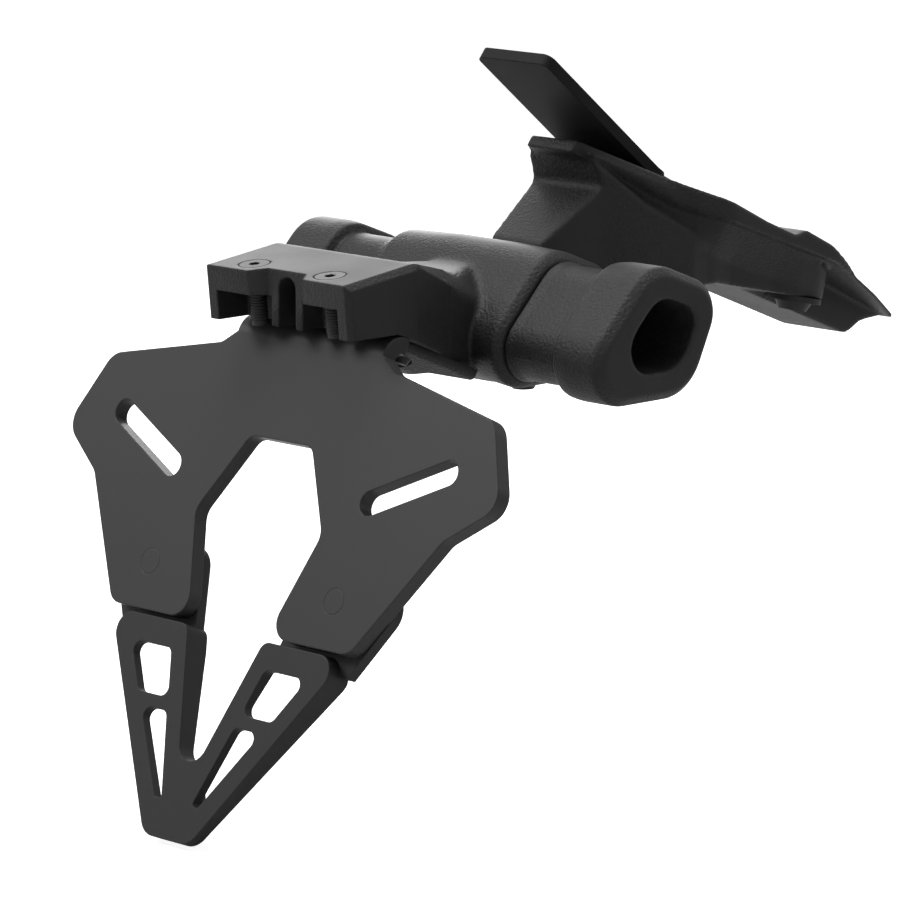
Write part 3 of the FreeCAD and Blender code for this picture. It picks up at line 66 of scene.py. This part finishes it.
def addNode(tree, kind, settings=None, links=None):
    # one node with its settings, its socket values and its incoming links
    node = tree.nodes.new(kind)
    for name, value in (settings or {}).items():
        if isinstance(name, int) or name in node.inputs.keys():
            node.inputs[name].default_value = value
        else:
            setattr(node, name, value)
    for name, source in (links or {}).items():
        tree.links.new(source, node.inputs[name])
    return node


def startMaterial(name, shaderSettings):
    material = bpy.data.materials.new(name)
    material.use_nodes = True
    tree = material.node_tree
    tree.nodes.clear()
    shader = addNode(tree, "ShaderNodeBsdfPrincipled", shaderSettings)
    addNode(tree, "ShaderNodeOutputMaterial", links={"Surface": shader.outputs["BSDF"]})
    place = addNode(tree, "ShaderNodeTexCoord")
    return material, tree, shader, place.outputs["Object"]


def twoTones(tree, source, low, high, edges):
    # colour that runs from one tone to the other as the source rises
    node = addNode(tree, "ShaderNodeValToRGB", links={"Fac": source})
    for element, position, colour in zip(node.color_ramp.elements, edges, (low, high)):
        element.position = position
        element.color = colour
    return node.outputs["Color"]


def roughness(tree, source, low, high):
    # a noise mostly stays between 0.3 and 0.7
    node = addNode(tree, "ShaderNodeMapRange", {"From Min": 0.3, "From Max": 0.7,
                                                "To Min": low, "To Max": high},
                   {"Value": source})
    return node.outputs["Result"]


def connect(tree, shader, colour, rough, normal):
    for name, source in (("Base Color", colour), ("Roughness", rough), ("Normal", normal)):
        tree.links.new(source, shader.inputs[name])


mouldLook = {
    "colour": "#202021",
    "paleColour": "#282829",       # where the glass fibres lie near the skin
    "grainWidth": 0.62,            # one wrinkle of the etched texture
    "bendFineness": 0.35,          # slow waves that bend the wrinkles, against the grain's own
    "bendPush": 0.5,
    "cellFineness": 0.8,
    "cellSoftness": 0.6,
    "cellShare": 0.7,
    "wrinkleRoughness": 0.62,
    "grainDepth": 0.2,
    "grainStrength": 1.0,
    "flatGrain": 0.1,              # share of the grain on the flat faces
    "flatFrom": 0.9,               # how straight a face looks along an axis
    "flatTo": 0.985,
    "cloudsPerMetre": 24.0,
    "toneEdges": (0.35, 0.7),
    "roughLow": 0.44,
    "roughHigh": 0.56,
    "specular": 0.17,              # low because the etched skin scatters
    "edgeRadius": 0.9,
}


def nylonGrained():
    # Injection moulded in an etched tool: small leather-like wrinkles that break the light
    # up on the bends, softer on the flat faces, and edges with a small moulded radius.
    material, tree, shader, place = startMaterial(
        "nylonGrained", {"IOR": 1.53, "Specular IOR Level": mouldLook["specular"]})
    perMetre = 1000 / mouldLook["grainWidth"]
    bend = addNode(tree, "ShaderNodeTexNoise",
                   {"Scale": perMetre * mouldLook["bendFineness"], "Detail": 2.0},
                   {"Vector": place})
    push = addNode(tree, "ShaderNodeVectorMath", {"operation": "SCALE",
                                                  "Scale": mouldLook["bendPush"] / 1000},
                   {0: bend.outputs["Color"]})
    warped = addNode(tree, "ShaderNodeVectorMath", {"operation": "ADD"},
                     {0: place, 1: push.outputs["Vector"]})
    cells = addNode(tree, "ShaderNodeTexVoronoi",
                    {"feature": "SMOOTH_F1", "Scale": perMetre * mouldLook["cellFineness"],
                     "Smoothness": mouldLook["cellSoftness"]},
                    {"Vector": warped.outputs["Vector"]})
    wrinkles = addNode(tree, "ShaderNodeTexNoise",
                       {"Scale": perMetre, "Detail": 3.0,
                        "Roughness": mouldLook["wrinkleRoughness"]},
                       {"Vector": warped.outputs["Vector"]})
    height = addNode(tree, "ShaderNodeMath",
                     {"operation": "MULTIPLY_ADD", 1: mouldLook["cellShare"]},
                     {0: cells.outputs["Distance"], 2: wrinkles.outputs["Fac"]})
    # the flat faces look down one axis, so their grain is held back
    facing = addNode(tree, "ShaderNodeNewGeometry")
    parts = addNode(tree, "ShaderNodeSeparateXYZ", links={0: facing.outputs["True Normal"]})
    sideways = addNode(tree, "ShaderNodeMath", {"operation": "ABSOLUTE"},
                       {0: parts.outputs["X"]})
    upright = addNode(tree, "ShaderNodeMath", {"operation": "MAXIMUM"},
                      {0: sideways.outputs["Value"], 1: parts.outputs["Z"]})
    strength = addNode(tree, "ShaderNodeMapRange",
                       {"From Min": mouldLook["flatFrom"], "From Max": mouldLook["flatTo"],
                        "To Min": mouldLook["grainStrength"],
                        "To Max": mouldLook["grainStrength"] * mouldLook["flatGrain"]},
                       {"Value": upright.outputs["Value"]})
    edges = addNode(tree, "ShaderNodeBevel",
                    {"samples": 6, "Radius": mouldLook["edgeRadius"] / 1000})
    bump = addNode(tree, "ShaderNodeBump", {"Distance": mouldLook["grainDepth"] / 1000},
                   {"Height": height.outputs["Value"], "Normal": edges.outputs["Normal"],
                    "Strength": strength.outputs["Result"]})
    clouds = addNode(tree, "ShaderNodeTexNoise",
                     {"Scale": mouldLook["cloudsPerMetre"], "Detail": 4.0}, {"Vector": place})
    rough = roughness(tree, clouds.outputs["Fac"], mouldLook["roughLow"], mouldLook["roughHigh"])
    colour = twoTones(tree, clouds.outputs["Fac"], linear(mouldLook["colour"]),
                      linear(mouldLook["paleColour"]), mouldLook["toneEdges"])
    connect(tree, shader, colour, rough, bump.outputs["Normal"])
    return material


plateLook = {
    "name": "powderCoatSatin",
    "colour": "#2D2D2E",
    "darkColour": "#2A2A2B",
    "speckWidth": 0.5,             # orange peel of the coat
    "speckDepth": 0.012,
    "speckStrength": 0.35,
    "roughLow": 0.40,
    "roughHigh": 0.47,
    "specular": 0.2,
    "edgeRadius": 0.5,
    "cloudsPerMetre": 16.0,
    "toneEdges": (0.3, 0.7),
}
extensionLook = dict(plateLook, name="nylonSatin", colour="#222223", darkColour="#1F1F20",
                     speckWidth=0.7, roughLow=0.46, roughHigh=0.52, specular=0.2, edgeRadius=0.4)
# the strip's copy of the bracket coat: a duller gloss, and a darker colour that is painted shade
# for the strip facing down
stripShadedLook = dict(plateLook, name="powderCoatMattShaded", colour="#1A1A1B", darkColour="#171718",
                 roughLow=0.52, roughHigh=0.58, specular=0.08)


def satinSurface(look):
    # Powder coat on the sheet parts, and the smooth nylon of the extension: an even dark
    # grey satin whose faint orange peel only shows in the highlights.
    material, tree, shader, place = startMaterial(
        look["name"], {"IOR": 1.5, "Specular IOR Level": look["specular"]})
    peel = addNode(tree, "ShaderNodeTexNoise",
                   {"Scale": 1000 / look["speckWidth"], "Detail": 2.0}, {"Vector": place})
    edges = addNode(tree, "ShaderNodeBevel", {"samples": 6, "Radius": look["edgeRadius"] / 1000})
    bump = addNode(tree, "ShaderNodeBump", {"Strength": look["speckStrength"],
                                            "Distance": look["speckDepth"] / 1000},
                   {"Height": peel.outputs["Fac"], "Normal": edges.outputs["Normal"]})
    clouds = addNode(tree, "ShaderNodeTexNoise",
                     {"Scale": look["cloudsPerMetre"], "Detail": 3.0}, {"Vector": place})
    rough = roughness(tree, clouds.outputs["Fac"], look["roughLow"], look["roughHigh"])
    colour = twoTones(tree, clouds.outputs["Fac"], linear(look["darkColour"]),
                      linear(look["colour"]), look["toneEdges"])
    connect(tree, shader, colour, rough, bump.outputs["Normal"])
    return material


zincLook = {
    "name": "steelZincPlated",
    "colour": "#B4B6BA",
    "darkColour": "#8E9094",
    "metallic": 1.0,
    "specular": 0.5,
    "rough": 0.34,
    "roughSpread": 0.06,
    "markWidth": 0.3,              # turning marks
    "markDepth": 0.01,
    "markStrength": 0.4,
    "toneEdges": (0.35, 0.65),
    "edgeRadius": 0.15,
}
# black zinc is a dull dark film, so it is shaded as a coat
blackScrewLook = dict(zincLook, name="steelBlackZinc", colour="#2B2B2C", darkColour="#202021",
                      metallic=0.0, specular=0.2, rough=0.52)
brassLook = dict(zincLook, name="brassTurned", colour="#B8975A", darkColour="#8F6F3B",
                 rough=0.32, markWidth=0.25)


def turnedMetal(look):
    # Small turned and plated parts: fine turning marks that vary the tone and the gloss.
    material, tree, shader, place = startMaterial(
        look["name"], {"Metallic": look["metallic"], "Specular IOR Level": look["specular"]})
    marks = addNode(tree, "ShaderNodeTexNoise",
                    {"Scale": 1000 / look["markWidth"], "Detail": 3.0}, {"Vector": place})
    edges = addNode(tree, "ShaderNodeBevel", {"samples": 4, "Radius": look["edgeRadius"] / 1000})
    bump = addNode(tree, "ShaderNodeBump", {"Strength": look["markStrength"],
                                            "Distance": look["markDepth"] / 1000},
                   {"Height": marks.outputs["Fac"], "Normal": edges.outputs["Normal"]})
    rough = roughness(tree, marks.outputs["Fac"], look["rough"] - look["roughSpread"],
                      look["rough"] + look["roughSpread"])
    colour = twoTones(tree, marks.outputs["Fac"], linear(look["darkColour"]),
                      linear(look["colour"]), look["toneEdges"])
    connect(tree, shader, colour, rough, bump.outputs["Normal"])
    return material


grained = nylonGrained()
plateCoat = satinSurface(plateLook)
extensionNylon = satinSurface(extensionLook)
stripShadedCoat = satinSurface(stripShadedLook)
blackSteel = turnedMetal(blackScrewLook)
zincSteel = turnedMetal(zincLook)
brass = turnedMetal(brassLook)

finishes = {
    "bracket_coat": plateCoat,
    "extension_moulding": extensionNylon,
    "grained_moulding": grained,
    "stud_metal": plateCoat,
    "black_steel": blackSteel,
    "zinc_steel": zincSteel,
    "insert_brass": brass,
}
for part in frame["record"]["subparts"]:
    for holder in frame["nodes"][part["node"]].material_slots:
        holder.material = finishes[part["material_slot"]]
for holder in frame["nodes"]["top_tab_plate"].material_slots:
    holder.material = stripShadedCoat    # painted shade: the bracket coat made darker on the downward-facing strip, with a duller gloss
print("tail tidy: finishes on the CAD pieces")

# Softened mouldings. From the arm to the wing the real body has rounded edges, and its wing
# has a rim over a groove. That part is made again from the CAD mesh, as are both mounts.
bodyLook = {
    "joint": -128.0,               # plane across the arm where the sharp part ends
    "lap": 1.5,                    # how far the softened part reaches into the sharp one
    "voxel": 0.5,
    "softSteps": 9,
    "faces": 165000,
    "sharpAngle": 24.0,
    "flatAngle": 0.5,              # triangles of one flat face become one face
    "mergeGap": 0.001,
    "blendLow": (-25.0, -127.0, -7.0),       # box where the arm runs into the cross tube
    "blendHigh": (25.0, -100.0, 14.0),
    "blendFade": 4.0,
    "blendLevels": 8,
    "blendSteps": 90,
    "wingTilt": 26.1,
    "wingHeight": -2.93,           # top of the wing under the collars
    "wingDepth": -0.64,
    "rimDepths": (-74.4, -72.3, -49.3, -43.3, -30.0, 0.7),
    "rimThicks": (2.6, 2.6, 5.8, 5.8, 4.1, 0.3),
    "keelHalf": 6.0,               # middle of the stem, left as it is
    "grooveDepths": (-74.0, -66.3, -56.5, -48.3, -43.0, -38.0),
    "grooveDrops": (3.2, 4.5, 9.2, 10.7, 11.5, 12.0),
    "grooveInsets": (1.2, 2.6, 3.6, 3.0, 1.5, 0.0),
    "grooveCurve": 0.6,
    "grooveLeast": 0.5,            # least height counted where the groove meets the rim
    "rimMargin": 0.1,
    "slopeDepths": (-46.0, -40.0, -30.0, -15.0, -8.0, 2.0),     # sides of the pods, sloping in
    "slopeInsets": (0.0, 3.5, 6.0, 5.0, 2.6, 2.0),
    "slopeHeight": 9.0,
    "slopeInnerHalf": 16.0,
    "slopeOuterHalf": 24.0,
}
mountLook = {
    "voxel": 0.45,
    "softSteps": 14,
    "faces": 60000,
    "axisDepth": -99.3,            # middle of the cross tube
    "axisHeight": -8.62,
    "waistReach": (28.0, 30.5, 42.0, 49.5),
    "waistInset": (0.0, 0.9, 0.9, 0.0),      # narrower neck that flares into the boss
    "leastRadius": 1.0,
}


def pointsOf(mesh):
    points = numpy.empty(len(mesh.vertices) * 3)
    mesh.vertices.foreach_get("co", points)
    return points.reshape(-1, 3) * 1000


def partOf(mesh, plane, behind):
    # closed part of a mesh behind or in front of a plane across the motorbike
    shape = bmesh.new()
    shape.from_mesh(mesh)
    bmesh.ops.remove_doubles(shape, verts=shape.verts, dist=bodyLook["mergeGap"] / 1000)
    everything = shape.verts[:] + shape.edges[:] + shape.faces[:]
    cut = bmesh.ops.bisect_plane(shape, geom=everything, plane_co=(0, plane / 1000, 0),
                                 plane_no=(0, 1, 0), clear_outer=behind, clear_inner=not behind)
    rims = [item for item in cut["geom_cut"] if isinstance(item, bmesh.types.BMEdge)]
    bmesh.ops.triangle_fill(shape, edges=rims, use_beauty=True)
    bmesh.ops.dissolve_limit(shape, angle_limit=math.radians(bodyLook["flatAngle"]),
                             verts=shape.verts[:], edges=shape.edges[:])
    bmesh.ops.recalc_face_normals(shape, faces=shape.faces)
    part = bpy.data.meshes.new("part")
    shape.to_mesh(part)
    shape.free()
    return part


def evaluated(mesh, addModifiers):
    # plain mesh that results from a few modifiers
    holder = bpy.data.objects.new("bench", mesh)
    bpy.context.scene.collection.objects.link(holder)
    addModifiers(holder)
    seen = bpy.context.evaluated_depsgraph_get()
    result = bpy.data.meshes.new_from_object(holder.evaluated_get(seen))
    bpy.data.objects.remove(holder)
    return result


def blendGroup(holder, look):
    # vertices inside a box, in steps of weight that fade out at its sides
    points = pointsOf(holder.data)
    inside = numpy.minimum(points - numpy.array(look["blendLow"]),
                           numpy.array(look["blendHigh"]) - points).min(axis=1)
    weights = numpy.clip(inside / look["blendFade"], 0.0, 1.0)
    weights = numpy.ceil(weights * look["blendLevels"]) / look["blendLevels"]
    group = holder.vertex_groups.new(name="blend")
    for weight in numpy.unique(weights[weights > 0]):
        group.add(numpy.flatnonzero(weights == weight).tolist(), float(weight), "REPLACE")
    return group


def softened(mesh, look, press):
    # the mesh again in small even faces, pressed to shape, smoothed and thinned out
    def fine(holder):
        remesh = holder.modifiers.new("fine", "REMESH")
        remesh.mode = "VOXEL"
        remesh.voxel_size = look["voxel"] / 1000
        remesh.use_smooth_shade = True

    def soft(holder):
        holder.modifiers.new("soft", "SMOOTH").iterations = look["softSteps"]
        if "blendSteps" in look:
            blend = holder.modifiers.new("blend", "SMOOTH")
            blend.iterations = look["blendSteps"]
            blend.vertex_group = blendGroup(holder, look).name
        fewer = holder.modifiers.new("fewer", "DECIMATE")
        fewer.ratio = min(1.0, look["faces"] / (2 * len(holder.data.polygons)))

    dense = evaluated(mesh, fine)
    dense.vertices.foreach_set("co", (press(pointsOf(dense)) / 1000).ravel())
    dense.update()
    return evaluated(dense, soft)


def pressedSides(points):
    # groove under the rim beside the stem, and the sloping sides of the pods
    across, depth, height = points.T
    wingTop = bodyLook["wingHeight"] - (depth - bodyLook["wingDepth"]) * math.tan(
        math.radians(bodyLook["wingTilt"]))
    drop = wingTop - height
    rim = numpy.interp(depth, bodyLook["rimDepths"], bodyLook["rimThicks"])
    groove = numpy.interp(depth, bodyLook["grooveDepths"], bodyLook["grooveDrops"])
    inset = numpy.interp(depth, bodyLook["grooveDepths"], bodyLook["grooveInsets"])
    tall = numpy.maximum(groove - rim, bodyLook["grooveLeast"])
    share = numpy.clip((groove - drop) / tall, 0.0, 1.0)
    atStem = (drop > rim + bodyLook["rimMargin"]) & (depth > bodyLook["grooveDepths"][0])
    atStem &= numpy.abs(across) > bodyLook["keelHalf"]
    inward = numpy.where(atStem, inset * share ** bodyLook["grooveCurve"], 0.0)
    slope = numpy.interp(depth, bodyLook["slopeDepths"], bodyLook["slopeInsets"])
    slope *= numpy.clip((drop - rim) / bodyLook["slopeHeight"], 0.0, 1.0)
    slope *= numpy.clip((numpy.abs(across) - bodyLook["slopeInnerHalf"]) / (
        bodyLook["slopeOuterHalf"] - bodyLook["slopeInnerHalf"]), 0.0, 1.0)
    inward += numpy.where(depth > bodyLook["slopeDepths"][0], slope, 0.0)
    points[:, 0] = numpy.sign(across) * numpy.maximum(numpy.abs(across) - inward, 0.0)
    return points


def pressedWaist(points):
    # every point of the neck moves towards the middle of the cross tube
    spread = points[:, 1:] - numpy.array((mountLook["axisDepth"], mountLook["axisHeight"]))
    distance = numpy.maximum(numpy.linalg.norm(spread, axis=1), mountLook["leastRadius"])
    inset = numpy.interp(numpy.abs(points[:, 0]), mountLook["waistReach"],
                         mountLook["waistInset"])
    points[:, 1:] -= spread * (inset / distance)[:, None]
    return points


def placeMoulding(name, mesh, node):
    # smooth shading that breaks at the edges, and long flat faces that stay flat
    for face in mesh.polygons:
        face.use_smooth = True
    mesh.set_sharp_from_angle(angle=math.radians(bodyLook["sharpAngle"]))

    def weighed(holder):
        holder.modifiers.new("weighed", "WEIGHTED_NORMAL").keep_sharp = True

    plain = evaluated(mesh, weighed)
    plain.name = name
    plain.materials.clear()
    plain.materials.append(grained)
    piece = bpy.data.objects.new(name, plain)
    bpy.context.scene.collection.objects.link(piece)
    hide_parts(node)
    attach(piece, "root")
    print("tail tidy:", name, len(plain.polygons), "faces")


def mouldedBody():
    # the head stays sharp as in the CAD, and the softened rest overlaps it a little
    source = frame["nodes"]["main_body"].data
    softSide = partOf(source, bodyLook["joint"] - bodyLook["lap"], False)
    shape = bmesh.new()
    shape.from_mesh(partOf(source, bodyLook["joint"], True))
    shape.from_mesh(softened(softSide, bodyLook, pressedSides))
    whole = bpy.data.meshes.new("whole")
    shape.to_mesh(whole)
    shape.free()
    placeMoulding("mouldedBody", whole, "main_body")


mouldedBody()
for side in ("Left", "Right"):
    node = "indicator_mount_" + side.lower()
    mount = softened(frame["nodes"][node].data, mountLook, pressedWaist)
    placeMoulding("indicatorMount" + side, mount, node)

# Screw threads that show: in the pockets of the head, behind the extension's nuts and on
# the ends of the base bolts. Each place is where the right-hand thread starts.
lampThread = {"across": 13.26, "depth": -159.6, "height": -5.2, "tilt": 7.309,
              "radius": 2.0, "pitch": 0.7, "length": 7.4, "ridge": 0.24}
studThread = {"across": 32.5, "depth": -168.55, "height": -68.78, "tilt": 247.3,
              "radius": 2.0, "pitch": 0.7, "length": 1.8, "ridge": 0.24}
baseThread = {"across": 18.0, "depth": 0.02, "height": 0.1, "tilt": -12.25,
              "radius": 2.8, "pitch": 1.0, "length": 1.6, "ridge": 0.45}


def threadTree():
    # one ridge wound round the shank, set on both screws of a pair
    tree = bpy.data.node_groups.new("screwThread", "GeometryNodeTree")
    tree.interface.new_socket("Geometry", in_out="OUTPUT", socket_type="NodeSocketGeometry")
    for name in ("Radius", "Turns", "Length", "Ridge", "Across", "Depth", "Height", "Tilt"):
        tree.interface.new_socket(name, in_out="INPUT", socket_type="NodeSocketFloat")
    tree.interface.new_socket("Finish", in_out="INPUT", socket_type="NodeSocketMaterial")
    sizes = addNode(tree, "NodeGroupInput").outputs
    winding = addNode(tree, "GeometryNodeCurveSpiral", {"Resolution": 24},
                      {"Rotations": sizes["Turns"], "Start Radius": sizes["Radius"],
                       "End Radius": sizes["Radius"], "Height": sizes["Length"]})
    upright = addNode(tree, "GeometryNodeSetCurveNormal", {"mode": "Z_UP"},
                      {"Curve": winding.outputs["Curve"]})
    flank = addNode(tree, "GeometryNodeCurvePrimitiveCircle", {"Resolution": 4},
                    {"Radius": sizes["Ridge"]})
    ridge = addNode(tree, "GeometryNodeCurveToMesh", {"Fill Caps": True},
                    {"Curve": upright.outputs["Curve"], "Profile Curve": flank.outputs["Curve"]})
    back = addNode(tree, "ShaderNodeMath", {"operation": "MULTIPLY", 1: -1.0},
                   {0: sizes["Across"]})
    first = addNode(tree, "ShaderNodeCombineXYZ", links={
        "X": back.outputs["Value"], "Y": sizes["Depth"], "Z": sizes["Height"]})
    span = addNode(tree, "ShaderNodeMath", {"operation": "MULTIPLY", 1: 2.0},
                   {0: sizes["Across"]})
    step = addNode(tree, "ShaderNodeCombineXYZ", links={"X": span.outputs["Value"]})
    pair = addNode(tree, "GeometryNodeMeshLine", {"mode": "OFFSET", "Count": 2},
                   {"Start Location": first.outputs["Vector"], "Offset": step.outputs["Vector"]})
    turn = addNode(tree, "ShaderNodeCombineXYZ", links={"X": sizes["Tilt"]})
    spin = addNode(tree, "FunctionNodeEulerToRotation", links={"Euler": turn.outputs["Vector"]})
    both = addNode(tree, "GeometryNodeInstanceOnPoints", links={
        "Points": pair.outputs["Mesh"], "Instance": ridge.outputs["Mesh"],
        "Rotation": spin.outputs["Rotation"]})
    real = addNode(tree, "GeometryNodeRealizeInstances",
                   links={"Geometry": both.outputs["Instances"]})
    dressed = addNode(tree, "GeometryNodeSetMaterial", links={
        "Geometry": real.outputs["Geometry"], "Material": sizes["Finish"]})
    addNode(tree, "NodeGroupOutput", links={"Geometry": dressed.outputs["Geometry"]})
    return tree


def addThread(name, tree, thread, finish):
    # runs the tree for one pair of screws and keeps the plain mesh
    holder = bpy.data.objects.new(name, bpy.data.meshes.new(name))
    bpy.context.scene.collection.objects.link(holder)
    modifier = holder.modifiers.new("thread", "NODES")
    modifier.node_group = tree
    values = {
        "Radius": thread["radius"] / 1000,
        "Turns": thread["length"] / thread["pitch"],
        "Length": thread["length"] / 1000,
        "Ridge": thread["ridge"] / 1000,
        "Across": thread["across"] / 1000,
        "Depth": thread["depth"] / 1000,
        "Height": thread["height"] / 1000,
        "Tilt": math.radians(thread["tilt"]),
        "Finish": finish,
    }
    for item in tree.interface.items_tree:
        if item.name in values and item.in_out == "INPUT":
            modifier[item.identifier] = values[item.name]
    holder.update_tag()
    seen = bpy.context.evaluated_depsgraph_get()
    plain = bpy.data.meshes.new_from_object(holder.evaluated_get(seen))
    plain.name = name
    holder.modifiers.clear()
    holder.data = plain
    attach(holder, "root")
    print("tail tidy:", name, len(plain.polygons), "faces")


screwThread = threadTree()
addThread("lampScrewThreads", screwThread, lampThread, blackSteel)
addThread("studThreads", screwThread, studThread, plateCoat)
addThread("baseBoltThreads", screwThread, baseThread, blackSteel)

# A studio: a white surround that the camera and the gloss see at strength 1, and a pale floor
# whose glow only the camera sees, so that it stays white round a faint shadow.
studio = {
    "floorColour": "#E9E9E9",
    "floorHalf": 6000,
    "floorGap": 0.6,
    "floorGlow": 0.78,
    "surround": 0.26,
}
lamps = {
    "above": {
        "place": (-60, -140, 620),
        "aim": (0, -110, 0),
        "width": 460,
        "watts": 4.6,
    },
    "cameraLeft": {
        "place": (-560, -760, 620),
        "aim": (-10, -140, -30),
        "width": 420,
        "watts": 5.1,
    },
    "behind": {
        "place": (-540, 400, 250),
        "aim": (0, -90, 0),
        "width": 420,
        "watts": 2.1,
    },
}


def backgroundRays(tree):
    # 1 for rays from the camera, a gloss or a clear body
    path = addNode(tree, "ShaderNodeLightPath")
    first = addNode(tree, "ShaderNodeMath", {"operation": "MAXIMUM"},
                    {0: path.outputs["Is Camera Ray"], 1: path.outputs["Is Glossy Ray"]})
    both = addNode(tree, "ShaderNodeMath", {"operation": "MAXIMUM"},
                   {0: first.outputs["Value"], 1: path.outputs["Is Transmission Ray"]})
    return both.outputs["Value"]


world = bpy.data.worlds.new("studio")
bpy.context.scene.world = world
world.use_nodes = True
air = world.node_tree
air.nodes.clear()
soft = addNode(air, "ShaderNodeBackground",
               {"Color": (1, 1, 1, 1), "Strength": studio["surround"]})
white = addNode(air, "ShaderNodeBackground", {"Color": (1, 1, 1, 1), "Strength": 1.0})
mixed = addNode(air, "ShaderNodeMixShader", links={
    0: backgroundRays(air), 1: soft.outputs["Background"], 2: white.outputs["Background"]})
addNode(air, "ShaderNodeOutputWorld", links={"Surface": mixed.outputs["Shader"]})

floorHeight = cadBounds[0][2] - studio["floorGap"] / 1000
reach = studio["floorHalf"] / 1000
floorMesh = bpy.data.meshes.new("floor")
floorCorners = ((-reach, -reach), (reach, -reach), (reach, reach), (-reach, reach))
floorMesh.from_pydata([(x, y, floorHeight) for x, y in floorCorners], [], [(0, 1, 2, 3)])
floor = bpy.data.objects.new("floor", floorMesh)
bpy.context.scene.collection.objects.link(floor)
# matt backdrop paper, brighter to the camera than to the object
paper = bpy.data.materials.new("paperPale")
paper.use_nodes = True
backdrop = paper.node_tree
backdrop.nodes.clear()
sheet = addNode(backdrop, "ShaderNodeBsdfDiffuse", {"Color": linear(studio["floorColour"])})
glow = addNode(backdrop, "ShaderNodeEmission",
               {"Color": (1, 1, 1, 1), "Strength": studio["floorGlow"]})
bright = addNode(backdrop, "ShaderNodeAddShader", links={0: sheet.outputs["BSDF"],
                                                         1: glow.outputs["Emission"]})
seenRays = addNode(backdrop, "ShaderNodeLightPath")
mixed = addNode(backdrop, "ShaderNodeMixShader", links={
    0: seenRays.outputs["Is Camera Ray"], 1: sheet.outputs["BSDF"], 2: bright.outputs["Shader"]})
addNode(backdrop, "ShaderNodeOutputMaterial", links={"Surface": mixed.outputs["Shader"]})
floorMesh.materials.append(paper)

for name, light in lamps.items():
    data = bpy.data.lights.new(name, "AREA")
    data.shape = "DISK"
    data.size = light["width"] / 1000
    data.energy = light["watts"]
    lamp = bpy.data.objects.new(name, data)
    bpy.context.scene.collection.objects.link(lamp)
    lamp.location = Vector(light["place"]) / 1000
    direction = Vector(light["aim"]) - Vector(light["place"])
    lamp.rotation_euler = direction.to_track_quat("-Z", "Y").to_euler()

camera = {
    "place": (934.86, -1023.36, 203.79),
    "elevation": 10.746,
    "azimuth": 45.525,
    "lens": 211.59,
    "sensor": 36,
    "clip": 20,
}
cameraData = bpy.data.cameras.new("view")
cameraData.sensor_width = camera["sensor"]
cameraData.lens = camera["lens"]
cameraData.clip_end = camera["clip"]
view = bpy.data.objects.new("view", cameraData)
bpy.context.scene.collection.objects.link(view)
view.location = Vector(camera["place"]) / 1000
view.rotation_euler = (math.radians(90 - camera["elevation"]), 0,
                       math.radians(camera["azimuth"]))
bpy.context.scene.camera = view
bpy.context.scene.view_settings.view_transform = "Standard"
print("tail tidy: studio and camera set")
